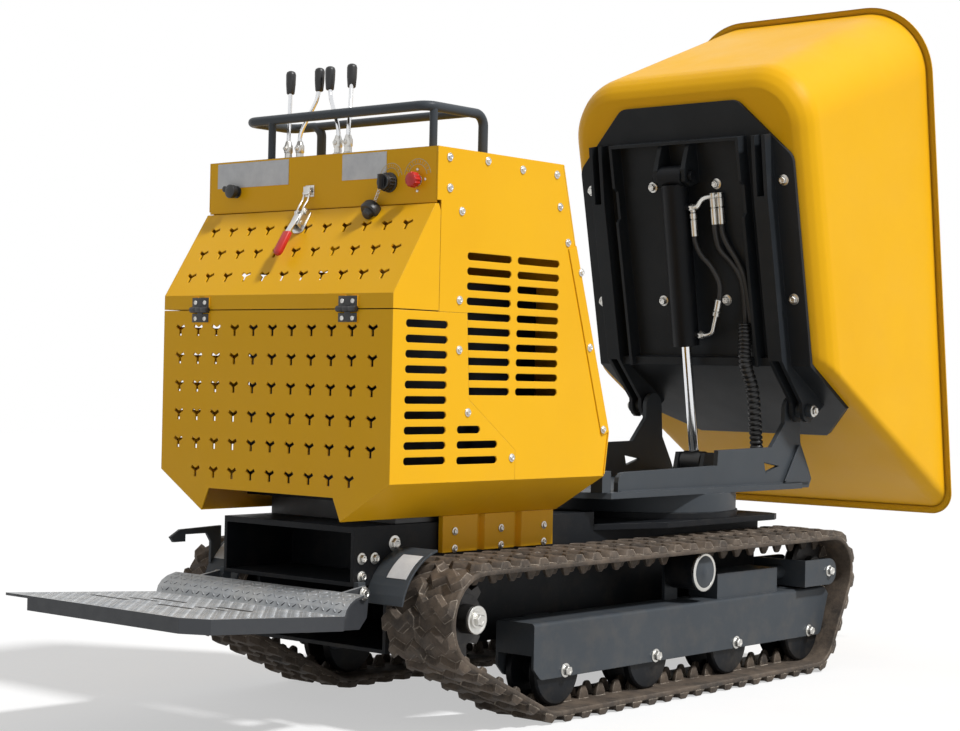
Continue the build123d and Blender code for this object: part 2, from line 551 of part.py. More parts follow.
def tub_local():
    """Thin-walled skip: rounded along the foot, straight walls, a flange round the tilted rim."""
    floor_z = BASE_BOTTOM + BASE_THICK + SEAT
    front_foot = tub_foot()
    slope = front_slope()
    tilt = math.degrees(math.atan2(RIM_REAR_Z - RIM_FRONT_Z, RIM_FRONT_X - RIM_REAR_X))
    length = math.hypot(RIM_REAR_Z - RIM_FRONT_Z, RIM_FRONT_X - RIM_REAR_X)
    rim = Pos((RIM_REAR_X + RIM_FRONT_X) / 2, 0, (RIM_REAR_Z + RIM_FRONT_Z) / 2) * Rot(0, tilt, 0)
    ux, uz = rim_direction()
    rear_slope = (RIM_REAR_X + RIM_FLANGE * ux - FLOOR_REAR) / (RIM_REAR_Z + RIM_FLANGE * uz - floor_z)
    side_slope = (RIM_HALF - RIM_FLANGE - FLOOR_HALF) / ((RIM_REAR_Z + RIM_FRONT_Z) / 2 - floor_z)

    def body(inset):
        sections = []
        radius = FOOT_ROUND - inset
        for step in range(FOOT_STEPS + 1):
            angle = math.radians(90 * step / FOOT_STEPS)
            height = inset + radius * (1 - math.cos(angle))
            narrow = inset + radius * (1 - math.sin(angle))
            section = tub_section(FLOOR_REAR + rear_slope * height + narrow,
                                  front_foot + height / math.tan(slope) - inset / math.sin(slope),
                                  FLOOR_HALF + side_slope * height - narrow, FOOT_REAR_R - narrow,
                                  FOOT_FRONT_R - inset)
            sections.append(Pos(0, 0, floor_z + height) * section)
        edge = inset + RIM_FLANGE
        top = tub_section(-length / 2 + edge, length / 2 - edge, RIM_HALF - edge, RIM_CORNER - edge,
                          RIM_FRONT_R - edge)
        sections.append(rim * top)
        return loft([s.faces()[0] for s in sections], ruled=True)

    inner = RIM_FLANGE + TUB_WALL / 2
    ring = tub_section(-length / 2, length / 2, RIM_HALF, RIM_CORNER, RIM_FRONT_R)
    ring -= tub_section(-length / 2 + inner, length / 2 - inner, RIM_HALF - inner, RIM_CORNER - inner,
                        RIM_FRONT_R - inner)
    return body(0.0) - body(TUB_WALL) + rim * extrude(ring, amount=-TUB_WALL)


def place_skip(shape):
    return Pos(HINGE_X, 0, HINGE_Z) * Rot(0, TIP_ANGLE, 0) * shape


def to_world(x, z):
    a = math.radians(TIP_ANGLE)
    return (HINGE_X + x * math.cos(a) + z * math.sin(a), HINGE_Z - x * math.sin(a) + z * math.cos(a))


def ram():
    """Tipping ram, extended: barrel with its clevis pin and ports, and rod with its eye."""
    cx, cz = to_world(CLEVIS_X, CLEVIS_Z)
    length = math.dist((cx, cz), (EYE_X, EYE_Z))
    ux, uz = (EYE_X - cx) / length, (EYE_Z - cz) / length

    def at(along, y=0.0):
        return (cx + ux * along, y, cz + uz * along)

    head = rod((cx, -35, cz), (cx, 35, cz), HEAD_R)
    barrel = rod(at(20), at(BARREL_LENGTH), BARREL_R) + head
    for along in PORTS:
        barrel += rod(at(along), at(along, -BARREL_R - PORT_REACH), PORT_R)
    barrel -= rod(at(60), at(BARREL_LENGTH + 1), ROD_R + RUNNING)
    barrel += rod((cx, -60, cz), (cx, 60, cz), 14)
    shaft = rod(at(length - ROD_LENGTH), at(length - 20), ROD_R)
    eye = rod((EYE_X, -30, EYE_Z), (EYE_X, 30, EYE_Z), EYE_R)
    return barrel, shaft + eye


# Cowl

def slot(x0, x1, z):
    """Cutter for one louvre slot with round ends in a cowl side."""
    half = SLOT_HIGH / 2
    y0, y1 = -COWL_HALF - 5, -COWL_HALF + 10
    parts = [box(x0 + half, x1 - half, y0, y1, z - half, z + half)]
    parts += [rod((x, y0, z), (x, y1, z), half) for x in (x0 + half, x1 - half)]
    return fused(parts)


def vent_outline(y, z):
    """Y-shaped ventilation hole: three arms at 120 degrees."""
    points = []
    for degrees in (30, 150, 270):
        a = math.radians(degrees)
        for along, across in ((VENT_ARM, -VENT_HALF), (VENT_ARM, VENT_HALF)):
            points.append((y + along * math.cos(a) - across * math.sin(a),
                           z + along * math.sin(a) + across * math.cos(a)))
        inner = a + math.radians(60)
        reach = VENT_HALF / math.cos(math.radians(30))
        points.append((y + reach * math.cos(inner), z + reach * math.sin(inner)))
    return points


def vents(rows):
    """Cutters for rows of ventilation holes; each row is (height, columns)."""
    cutters = []
    for z, columns in rows:
        for i in range(columns):
            y = (i - (columns - 1) / 2) * VENT_PITCH
            cutters.append(prism_x(vent_outline(y, z), -5, 10))
    return cutters


def side_shell():
    path = [(-COWL_HALF, COWL_TOP), (-COWL_HALF, WAIST), (-BELLY_HALF, BELLY)]
    return prism_x(sheet(path, SHEET), 0, COWL_FRONT_X + 20)


def rear_cover():
    plate = prism_x([(-COWL_HALF, HATCH_FOOT), (-COWL_HALF, WAIST), (-BELLY_HALF, BELLY),
                     (-CUT_HALF, CUT_TOP),
                     (CUT_HALF, CUT_TOP), (BELLY_HALF, BELLY), (COWL_HALF, WAIST), (COWL_HALF, HATCH_FOOT)],
                    0, SHEET)
    area = prism_y([(0, BELLY - 5), (372, BELLY - 5), (372, 560), (225, 662), (215, HATCH_FOOT),
                    (0, HATCH_FOOT)],
                   -COWL_HALF - 1, -BELLY_HALF + 20)
    plate -= vents([(z, VENT_COLUMNS) for z in VENT_ROWS] + [(LAST_ROW, LAST_COLUMNS)])
    flange = side_shell() & area
    for i in range(SLOT_ROWS):
        flange -= slot(37, 158, 808 - i * 29.4)
    for x1, z in ((261, 603), (315, 573), (315, 542)):
        flange -= slot(191, x1, z)
    hinges = []
    for y in (-HATCH_HINGE_Y, HATCH_HINGE_Y):
        leaf = box(-3, 0, y - 25, y + 25, HATCH_FOOT - 26, HINGE_LINE_Z - 7)
        leaf += box(-3, 0, y - 8, y + 8, HATCH_FOOT - 26, HINGE_LINE_Z)
        leaf += rod((HINGE_LINE_X, y - 8, HINGE_LINE_Z), (HINGE_LINE_X, y + 8, HINGE_LINE_Z), 5.5)
        pin = rod((HINGE_LINE_X, y - 25, HINGE_LINE_Z), (HINGE_LINE_X, y + 25, HINGE_LINE_Z), 2.5)
        hinges.append(leaf + pin)
    for y in (-HATCH_HINGE_Y, HATCH_HINGE_Y):
        for side in (-1, 1):
            plate -= rod((HINGE_LINE_X, y + side * 7.8, HINGE_LINE_Z),
                         (HINGE_LINE_X, y + side * 25.2, HINGE_LINE_Z), 7)
    return fused([plate, flange, mirror_y(flange)] + hinges)


def front_path():
    """Outer face of the front cover, from the top down."""
    return [(COWL_FRONT_TOP, COWL_TOP - SHEET - SEAT), FRONT_A, FRONT_B, (COWL_FRONT_X, WAIST + 4)]


def side_panel():
    area = prism_y([(372 + SEAT, BELLY - 5), (COWL_FRONT_X, BELLY - 5), (COWL_FRONT_X, WAIST),
                    FRONT_B, FRONT_A,
                    (COWL_FRONT_TOP, COWL_TOP), (CONSOLE_X, COWL_TOP), (CONSOLE_X, CONSOLE_FOOT + 5),
                    (131, CONSOLE_FOOT + 5), (131, HATCH_FOOT + SEAT), (215 + SEAT, HATCH_FOOT + SEAT),
                    (225 + SEAT, 662), (372 + SEAT, 560)], -COWL_HALF - 1, -BELLY_HALF + 20)
    panel = side_shell() & area
    for i in range(SLOT_ROWS):
        for x0, x1 in ((212, 349), (368, 505)):
            panel -= slot(x0, x1, 946 - i * 29.7)
    return panel - prism_y(sheet(front_path(), -SHEET - SEAT), -COWL_HALF - 1, 0)


def hatch():
    """Sloping lid with side flanges, ventilation holes and its halves of the hinges."""
    y = COWL_HALF
    foot, crown = HATCH_FOOT + 2, (CONSOLE_X - 4, CONSOLE_FOOT - 2)
    face = prism_y(sheet([(0, foot), (0, HATCH_BEND), crown], -SHEET), -y, y)
    slope = math.atan2(crown[1] - HATCH_BEND, crown[0])
    tilt = Pos(0, 0, HATCH_BEND) * Rot(0, 90 - math.degrees(slope), 0)
    face -= [tilt * cutter for cutter in vents([(along, VENT_COLUMNS) for along in HATCH_ROWS])]
    side = prism_y([(0, foot), (CONSOLE_X + 11, foot), (CONSOLE_X + 11, CONSOLE_FOOT - 15),
                    (CONSOLE_X + 5, CONSOLE_FOOT - 2), crown, (0, HATCH_BEND)], -y, -y + SHEET)
    hinges = []
    for hinge_y in (-HATCH_HINGE_Y, HATCH_HINGE_Y):
        for inner, outer in ((-25, -8.2), (8.2, 25)):
            y0, y1 = hinge_y + inner, hinge_y + outer
            leaf = box(-3, 0, y0, y1, HINGE_LINE_Z + 2, HATCH_FOOT + 27)
            leaf += rod((HINGE_LINE_X, y0, HINGE_LINE_Z), (HINGE_LINE_X, y1, HINGE_LINE_Z), 5.5)
            leaf -= rod((HINGE_LINE_X, y0 - 1, HINGE_LINE_Z), (HINGE_LINE_X, y1 + 1, HINGE_LINE_Z),
                        2.5 + RUNNING)
            hinges.append(leaf)
    return fused([face, side, mirror_y(side)] + hinges)


def console():
    y = COWL_HALF - SHEET - SEAT
    face = box(CONSOLE_X, CONSOLE_X + SHEET, -y, y, CONSOLE_FOOT, COWL_TOP)
    top = box(CONSOLE_X, COWL_FRONT_TOP - 6, -y, y, COWL_TOP - SHEET, COWL_TOP)
    return face + top


def front_panel():
    """Front cover of the cowl, folded back over the sides in a narrow strip."""
    wide = COWL_HALF + SEAT + STRIP_SHEET
    panel = prism_y(sheet(front_path(), -SHEET), -wide, wide)
    panel -= box(COWL_FRONT_TOP - 20, FRONT_A[0] + 1, -wide - 1, -COWL_HALF, FRONT_A[1], COWL_TOP)
    panel -= box(COWL_FRONT_TOP - 20, FRONT_A[0] + 1, COWL_HALF, wide + 1, FRONT_A[1], COWL_TOP)
    strip = prism_y(sheet([FRONT_A, FRONT_B], -STRIP), -wide, -COWL_HALF - SEAT)
    return fused([panel, strip, mirror_y(strip)])


def engine_block():
    return box(ENGINE_X0, ENGINE_X1, -ENGINE_HALF, ENGINE_HALF, CHASSIS_Z1 + MOUNT_HIGH, ENGINE_TOP)


def engine_mounts():
    x0, x1, half = ENGINE_X0 + 30, ENGINE_X1 - 20, ENGINE_HALF - 45
    return box(x0, x1, -half, half, CHASSIS_Z1 + SEAT, CHASSIS_Z1 + MOUNT_HIGH - SEAT)


def handrail():
    """One bent tube round the console, closed at the front by a straight one, on four feet."""
    path = FilletPolyline((RAIL_FOOT, RAIL_RIGHT, COWL_TOP), (RAIL_FOOT, RAIL_RIGHT, RAIL_Z),
                          (RAIL_REAR, RAIL_RIGHT, RAIL_Z), (RAIL_REAR, RAIL_LEFT, RAIL_Z),
                          (RAIL_FRONT, RAIL_LEFT, RAIL_Z), (RAIL_FRONT, RAIL_LEG, RAIL_Z),
                          (RAIL_FRONT, RAIL_LEG, COWL_TOP), radius=RAIL_BEND)
    tube = sweep(Plane(origin=path @ 0, z_dir=path % 0) * Circle(RAIL_R), path=path)
    front = rod((RAIL_FRONT, RAIL_LEG + RAIL_BEND + 5, RAIL_Z), (RAIL_FRONT, RAIL_RIGHT, RAIL_Z), CROSS_R)
    posts = [rod((x, y, COWL_TOP), (x, y, RAIL_Z), POST_R) for x, y in ((RAIL_REAR, 150), (150, RAIL_RIGHT))]
    return fused([tube, front] + posts)


def levers():
    out = []
    for x, y, kx, ky in LEVER_TABLE:
        base = rod((x, y, COWL_TOP), (x, y, COWL_TOP + 28), 9)
        stem = rod((x, y, COWL_TOP + 20), (kx, ky, 1300), 5)
        knob = rod((kx, ky, 1295), (kx, ky, 1345), 11)
        out.append(fused([base, stem, knob]))
    return out


# Platform

def deck_height(x):
    share = (x - DECK_REAR) / (DECK_FRONT - DECK_REAR)
    return DECK_REAR_Z * (1 - share) + DECK_FRONT_Z * share


def platform():
    """Deck on a folded frame, with a rounded kick plate and two fold arms."""
    low = [(DECK_REAR, DECK_REAR_Z), (DECK_FRONT, DECK_FRONT_Z)]
    plan = [(DECK_REAR, -DECK_HALF + DECK_CORNER), (DECK_REAR + DECK_CORNER, -DECK_HALF), (0, -DECK_HALF),
            (0, DECK_HALF), (DECK_REAR + DECK_CORNER, DECK_HALF), (DECK_REAR, DECK_HALF - DECK_CORNER)]
    deck = prism_y(sheet(low + KICK, -DECK_THICK), -DECK_HALF, DECK_HALF) & prism_z(plan, 0, 400)
    ring = [(DECK_FRONT, -DECK_HALF), (DECK_REAR + DECK_CORNER, -DECK_HALF),
            (DECK_REAR, -DECK_HALF + DECK_CORNER), (DECK_REAR, DECK_HALF - DECK_OVERHANG),
            (DECK_FRONT, DECK_HALF - DECK_OVERHANG)]
    frame = prism_z(sheet(ring, -SKIRT_SHEET), 0, 400)
    frame &= prism_y(sheet(low, -DECK_SKIRT), -DECK_HALF - 1, DECK_HALF + 1)
    parts = [deck, frame]
    for side in (-1, 1):
        y0, y1 = side * ARM_Y0, side * ARM_Y1
        outline = [(DECK_FRONT - 60, deck_height(DECK_FRONT - 60) - 3), (DECK_FRONT - 40, 216),
                   (FOLD_X - 8, 210),
                   (FOLD_X + 12, 232), (FOLD_X + ARM_END, FOLD_Z), (FOLD_X + 8, FOLD_Z + 14), (-2, 284),
                   (-26, 278), (-50, 258), (DECK_FRONT, DECK_FRONT_Z - 3)]
        arm = prism_y(outline, y0, y1)
        arm -= rod((FOLD_X, y0 - side, FOLD_Z), (FOLD_X, y1 + side, FOLD_Z), FOLD_PIN + RUNNING)
        parts.append(arm)
    return fused(parts)


def platform_mount():
    parts = []
    for side in (-1, 1):
        y0, y1 = side * (CHASSIS_HALF + SEAT), side * (ARM_Y0 - 1)
        plate = box(FOLD_X - 5, FOLD_X + 15, y0, y1, FOLD_Z - 16, FOLD_Z + 20)
        pin = rod((FOLD_X, y0, FOLD_Z), (FOLD_X, side * (ARM_Y1 + 3), FOLD_Z), FOLD_PIN)
        parts.append(plate + pin)
    return parts


def fender():
    """Curved guard round the rear of a track, fixed to the chassis side."""
    points = []
    for k in range(9):
        angle = math.radians(FENDER_FROM + (FENDER_TO - FENDER_FROM) * k / 8)
        points.append((SPROCKET_X + FENDER_R * math.cos(angle), SPROCKET_Z + FENDER_R * math.sin(angle)))
    return prism_y(sheet(points, -FENDER_SHEET), -FENDER_OUT, -CHASSIS_HALF - SEAT)


def skirt():
    """Ribbed yellow sheet between the cowl's underside and the chassis side."""
    outer, inner = BELLY_HALF, CHASSIS_HALF + SEAT + 2
    x0, x1 = SKIRT_X0, SKIRT_X1
    pitch = (x1 - x0) / 3
    path = []
    for k in range(3):
        start = x0 + k * pitch
        if k:
            path += [(start - 12, -outer), (start - 6, -inner), (start + 6, -inner), (start + 12, -outer)]
    path = [(x0, -inner), (x0 + 1, -outer)] + path + [(x1 - 1, -outer), (x1, -inner)]
    return prism_z(sheet(path, 2), SKIRT_Z0, BELLY - SEAT)


def controls():
    """Starter switch, stop button and side knob on the console face."""
    knobs = []
    for y, z, r, depth in KNOB_TABLE:
        knobs.append(rod((CONSOLE_X - depth, y, z), (CONSOLE_X, y, z), r))
    return knobs


def latch():
    """Toggle latch on the hatch: body, red handle and wire loop."""
    a = math.atan2(CONSOLE_FOOT - 2 - HATCH_BEND, CONSOLE_X - 4)
    nx, nz = -math.sin(a), math.cos(a)
    def at(along, out):
        return (along * math.cos(a) + nx * out, HATCH_BEND + along * math.sin(a) + nz * out)
    body = prism_y([at(150, 1), at(205, 1), at(205, 16), at(150, 22)], 4, 34)
    handle = prism_y([at(100, 14), at(150, 6), at(152, 20), at(98, 30)], 10, 28)
    return body + handle


def platform_hook():
    """Hook on the left guard that the folded platform hangs on."""
    foot = FENDER_R + FENDER_SHEET + 2
    left, right = 100.0, 128.0
    low_left = SPROCKET_Z + math.sqrt(foot ** 2 - (SPROCKET_X - left) ** 2)
    low_right = SPROCKET_Z + math.sqrt(foot ** 2 - (SPROCKET_X - right) ** 2)
    return prism_y([(right, 378), (14, 374), (-13, 359), (-4, 348), (28, 348), (28, 363), (88, 363),
                    (left, 345), (left, low_left), (right, low_right)], HOOK_Y0, HOOK_Y1)


def hose_sleeve():
    foot, bend = (SLEEVE_X, SLEEVE_Y, TURRET_TOP + SEAT), (SLEEVE_X, SLEEVE_Y, SLEEVE_BEND)
    top = (SLEEVE_X - 15, SLEEVE_Y, SLEEVE_TOP)
    return rod(foot, bend, SLEEVE_R) + rod(bend, top, SLEEVE_R)


def ram_hoses():
    start = to_world(-560, BASE_BOTTOM - HOSE_R - SEAT)
    end = to_world(CROSS_X0 - SEAT, BASE_BOTTOM - HOSE_R - SEAT)
    return [rod((start[0], y, start[1]), (end[0], y, end[1]), HOSE_R) for y in (-120, -150)]


def to_frame_shift():
    low = DECK_REAR
    high = to_world(RIM_FRONT_X, RIM_FRONT_Z)[0]
    return -(low + high) / 2


FRAME_SHIFT = to_frame_shift()


def save(name, shape):
    shapes = shape if isinstance(shape, list) else [shape]
    solids = []
    for one in shapes:
        solids += one.solids()
    moved = [Pos(FRAME_SHIFT, 0, 0) * solid for solid in solids]
    whole = moved[0] if len(moved) == 1 else Compound(moved)
    export_step(whole, f"parts/{name}.step")


def main():
    os.makedirs("parts", exist_ok=True)
    pairs = {
        "track": track(),
        "road_rollers": road_rollers() + [carrier_roller()],
        "sprocket": sprocket(),
        "idler": idler(),
        "track_frame": track_frame(),
    }
    for name, shape in pairs.items():
        shapes = shape if isinstance(shape, list) else [shape]
        save(name + "_left", shapes)
        save(name + "_right", [mirror_y(one) for one in shapes])
    for name, shape in {"fender": fender(), "cowl_skirt": skirt(), "side_panel": side_panel()}.items():
        save(name + "_right", shape)
        save(name + "_left", mirror_y(shape))
    save("chassis_frame", chassis_frame())
    save("slew_base", slew_base())
    save("turret_frame", turret_frame())
    save("skip_frame", place_skip(skip_frame_local()))
    save("skip_tub", place_skip(tub_local()))
    barrel, shaft = ram()
    save("ram_barrel", barrel)
    save("ram_rod", shaft)
    save("rear_cover", rear_cover())
    save("hatch", hatch())
    save("console", console())
    save("front_panel", front_panel())
    save("engine_block", engine_block())
    save("engine_mounts", engine_mounts())
    save("handrail", handrail())
    save("levers", levers())
    save("platform", platform())
    save("platform_mount", platform_mount())
    save("controls", controls())
    save("latch", latch())
    save("platform_hook", platform_hook())
    save("hose_sleeve", hose_sleeve())
    save("ram_hoses", ram_hoses())


if __name__ == "__main__":
    main()
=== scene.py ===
import json
import math

import bmesh
import bpy
from mathutils import Matrix, Vector


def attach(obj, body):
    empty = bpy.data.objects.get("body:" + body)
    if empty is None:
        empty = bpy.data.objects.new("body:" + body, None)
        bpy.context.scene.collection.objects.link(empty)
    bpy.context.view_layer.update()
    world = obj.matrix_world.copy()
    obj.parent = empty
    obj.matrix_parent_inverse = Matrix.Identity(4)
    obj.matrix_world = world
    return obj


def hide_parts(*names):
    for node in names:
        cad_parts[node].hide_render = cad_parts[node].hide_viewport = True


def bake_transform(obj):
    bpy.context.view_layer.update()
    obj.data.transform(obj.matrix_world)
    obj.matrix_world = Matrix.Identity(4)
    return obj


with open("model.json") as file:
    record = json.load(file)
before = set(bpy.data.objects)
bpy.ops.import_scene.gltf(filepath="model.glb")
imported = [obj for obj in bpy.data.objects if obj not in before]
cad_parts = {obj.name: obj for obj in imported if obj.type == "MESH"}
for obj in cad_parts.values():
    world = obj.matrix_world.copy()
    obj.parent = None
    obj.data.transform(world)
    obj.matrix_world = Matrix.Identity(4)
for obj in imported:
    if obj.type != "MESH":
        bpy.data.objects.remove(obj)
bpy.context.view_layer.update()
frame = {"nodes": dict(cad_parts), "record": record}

# The machine's own frame, as in the part's source: millimetres, x = 0 on the rear face of the
# cowl. SHIFT_X moves it to the part's frame.
SHIFT_X = 874.7223

# Camera, in metres and degrees, in the frame of the part
LENS, SENSOR = 73.3, 36.0
SHIFT = (0.0031, 0.0033)
CAMERA_AT = (-3.57639, -2.86013, 0.7119)
YAW, PITCH, ROLL = 40.625, 0.18, 1.216

# Light
SUN_FROM, SUN_STRENGTH, SUN_SOFT = (0.06, -0.62, 0.78), 3.15, 6.0
SKY = 0.30
FLOOR_HALF, FLOOR_GLOW = 14.0, 0.50

# Tracks
BELT, LUG, LUG_PITCH = 12.0, 14.0, 60.0
BELT_STEPS = 176
CIRCLES = ((222.0, 230.0, 88.0), (462.0, 100.0, 74.0), (1484.1, 100.0, 74.0), (1555.0, 243.0, 79.0))
TRACK_IN, TRACK_MID, TRACK_OUT = 210.0, 300.0, 390.0
CARRIER_X = 1015.0

# Skip
HINGE = (1614.0, 638.0)
TIP = math.radians(78.4)
BASE_BOTTOM = -64.0
EYE = (1505.0, 500.0)
EYE_PAINT = 0.031
CLEVIS = (-621.0, -106.0)
CROSS_MEMBER = -152.4
PORTS, PORT_REACH = (80.0, 405.0), 44.0
SLEEVE_Y = -165.0

# Cowl
COWL_HALF = 330.0
HATCH_BEND, HATCH_TOP = (0.0, 864.0), (115.0, 1043.0)
HINGE_Y, HINGE_PIN_X, HINGE_PIN_Z = 213.0, -6.0, 834.0
CONSOLE_X = 119.0

# Radius of the worn edges on painted pieces, in metres
EDGE_ROUND = 0.0022


def at(x, y, z):
    """Point of the machine, in millimetres, as metres in the part's frame."""
    return Vector(((x - SHIFT_X) / 1000, y / 1000, z / 1000))


def tipped(x, y, z):
    """Point of the lowered skip, seen from its hinge, at the place it has in the rest pose."""
    forward = x * math.cos(TIP) + z * math.sin(TIP)
    rise = z * math.cos(TIP) - x * math.sin(TIP)
    return at(HINGE[0] + forward, y, HINGE[1] + rise)


def on_hatch(along, y, out):
    """Point on the hatch's slope: distance up the slope, and height above it."""
    angle = math.atan2(HATCH_TOP[1] - HATCH_BEND[1], HATCH_TOP[0] - HATCH_BEND[0])
    x = along * math.cos(angle) - out * math.sin(angle)
    return at(x, y, HATCH_BEND[1] + along * math.sin(angle) + out * math.cos(angle))


# Materials

class Paint:
    """Builds one procedural material on object coordinates, which are metres of the part."""

    def __init__(self, name):
        self.material = bpy.data.materials.new(name)
        self.material.use_nodes = True
        self.tree = self.material.node_tree
        self.shader = self.tree.nodes["Principled BSDF"]
        self.coord = self.tree.nodes.new("ShaderNodeTexCoord").outputs["Object"]

    def link(self, a, b):
        self.tree.links.new(a, b)

    def noise(self, scale, detail=4.0, rough=0.6, stretch=None):
        n = self.tree.nodes.new("ShaderNodeTexNoise")
        n.inputs["Scale"].default_value = scale
        n.inputs["Detail"].default_value = detail
        n.inputs["Roughness"].default_value = rough
        source = self.coord
        if stretch:
            m = self.tree.nodes.new("ShaderNodeMapping")
            m.inputs["Scale"].default_value = stretch
            self.link(source, m.inputs["Vector"])
            source = m.outputs["Vector"]
        self.link(source, n.inputs["Vector"])
        return n.outputs["Fac"]

    def span(self, value, low, high, to_low=0.0, to_high=1.0):
        n = self.tree.nodes.new("ShaderNodeMapRange")
        for name, number in (("From Min", low), ("From Max", high), ("To Min", to_low), ("To Max", to_high)):
            n.inputs[name].default_value = number
        self.link(value, n.inputs["Value"])
        return n.outputs["Result"]

    def math(self, operation, a, b):
        n = self.tree.nodes.new("ShaderNodeMath")
        n.operation = operation
        for i, value in enumerate((a, b)):
            if isinstance(value, float):
                n.inputs[i].default_value = value
            else:
                self.link(value, n.inputs[i])
        return n.outputs[0]

    def height(self):
        n = self.tree.nodes.new("ShaderNodeSeparateXYZ")
        self.link(self.coord, n.inputs[0])
        return n.outputs["Z"]

    def mix(self, factor, a, b):
        n = self.tree.nodes.new("ShaderNodeMix")
        n.data_type = "RGBA"
        self.link(factor, n.inputs["Factor"])
        for name, value in (("A", a), ("B", b)):
            socket = [s for s in n.inputs if s.name == name and s.type == "RGBA"][0]
            if isinstance(value, tuple):
                socket.default_value = (*value, 1)
            else:
                self.link(value, socket)
        return [s for s in n.outputs if s.type == "RGBA"][0]

    def rounded(self, radius, samples=4):
        n = self.tree.nodes.new("ShaderNodeBevel")
        n.samples = samples
        n.inputs["Radius"].default_value = radius
        return n.outputs["Normal"]

    def edges(self, normal):
        """1 on the edges that the rounded normal turns, 0 on the flats."""
        g = self.tree.nodes.new("ShaderNodeNewGeometry")
        n = self.tree.nodes.new("ShaderNodeVectorMath")
        n.operation = "DOT_PRODUCT"
        self.link(g.outputs["Normal"], n.inputs[0])
        self.link(normal, n.inputs[1])
        return self.span(n.outputs["Value"], 0.995, 0.93)

    def bump(self, height, distance, strength=1.0, normal=None):
        n = self.tree.nodes.new("ShaderNodeBump")
        n.inputs["Distance"].default_value = distance
        n.inputs["Strength"].default_value = strength
        self.link(height, n.inputs["Height"])
        if normal is not None:
            self.link(normal, n.inputs["Normal"])
        return n.outputs["Normal"]

    def finish(self, colour, rough, normal, metallic=0.0):
        self.link(colour, self.shader.inputs["Base Color"])
        self.link(rough, self.shader.inputs["Roughness"])
        self.link(normal, self.shader.inputs["Normal"])
        self.shader.inputs["Metallic"].default_value = metallic
        return self.material


DUST = (0.30, 0.24, 0.17)


def enamel(name, colour, deep, rough, dust, dust_top, wear, wear_colour, gloss=0.3, rounding=EDGE_ROUND):
    """Sprayed paint: slight change of tone, orange peel, dust that thickens downwards, worn edges."""
    p = Paint(name)
    tone = p.span(p.noise(2.2, 5.0), 0.35, 0.68)
    body = p.mix(tone, colour, deep)
    normal = p.rounded(EDGE_ROUND)
    patches = p.span(p.noise(14.0, 8.0, 0.68), 0.47, 0.72)
    low = p.span(p.height(), dust_top, 0.12, 0.12, 1.0)
    dusty = p.math("MULTIPLY", p.math("MULTIPLY", patches, low), dust)
    body = p.mix(dusty, body, DUST)
    chips = p.span(p.noise(90.0, 6.0, 0.7), 0.50, 0.60)
    worn = p.math("MULTIPLY", p.math("MULTIPLY", p.edges(normal), chips), wear)
    body = p.mix(worn, body, wear_colour)
    smooth = p.span(p.noise(6.0, 6.0), 0.3, 0.7, rough - 0.06, rough + 0.08)
    roughness = p.math("ADD", smooth, p.math("MULTIPLY", dusty, 0.5))
    form = normal if rounding == EDGE_ROUND else p.rounded(rounding, 8)
    p.shader.inputs["Specular IOR Level"].default_value = gloss
    return p.finish(body, roughness, p.bump(p.noise(260.0, 3.0), 0.00022, 0.35, form))


def rubber(name, colour, deep, dust, edge):
    p = Paint(name)
    tone = p.span(p.noise(9.0, 7.0, 0.7), 0.35, 0.65)
    body = p.mix(tone, deep, colour)
    normal = p.rounded(0.003)
    patches = p.span(p.noise(24.0, 9.0, 0.75), 0.42, 0.70)
    body = p.mix(p.math("MULTIPLY", patches, 0.75), body, dust)
    streaks = p.span(p.noise(60.0, 6.0, 0.7), 0.40, 0.62)
    worn = p.math("MULTIPLY", p.edges(normal), streaks)
    body = p.mix(worn, body, edge)
    roughness = p.span(p.noise(30.0, 5.0), 0.3, 0.7, 0.62, 0.92)
    grit = p.math("ADD", p.noise(420.0, 5.0, 0.75), p.math("MULTIPLY", p.noise(70.0, 5.0, 0.7), 2.0))
    return p.finish(body, roughness, p.bump(grit, 0.0008, 0.6, normal))


def metal(name, colour, deep, rough, grain=500.0, stretch=None, depth=0.00008, metallic=1.0, radius=0.0012):
    p = Paint(name)
    tone = p.span(p.noise(20.0, 6.0, 0.65), 0.35, 0.68)
    body = p.mix(tone, colour, deep)
    roughness = p.span(p.noise(45.0, 6.0, 0.7), 0.3, 0.7, rough - 0.07, rough + 0.12)
    normal = p.bump(p.noise(grain, 4.0, 0.7, stretch), depth, 0.5, p.rounded(radius))
    return p.finish(body, roughness, normal, metallic=metallic)


def plastic(name, colour, deep, rough, grain=700.0, depth=0.00012):
    p = Paint(name)
    tone = p.span(p.noise(25.0, 6.0, 0.65), 0.35, 0.68)
    body = p.mix(tone, colour, deep)
    roughness = p.span(p.noise(50.0, 5.0), 0.3, 0.7, rough - 0.06, rough + 0.1)
    return p.finish(body, roughness, p.bump(p.noise(grain, 3.0), depth, 0.5, p.rounded(0.0015)))


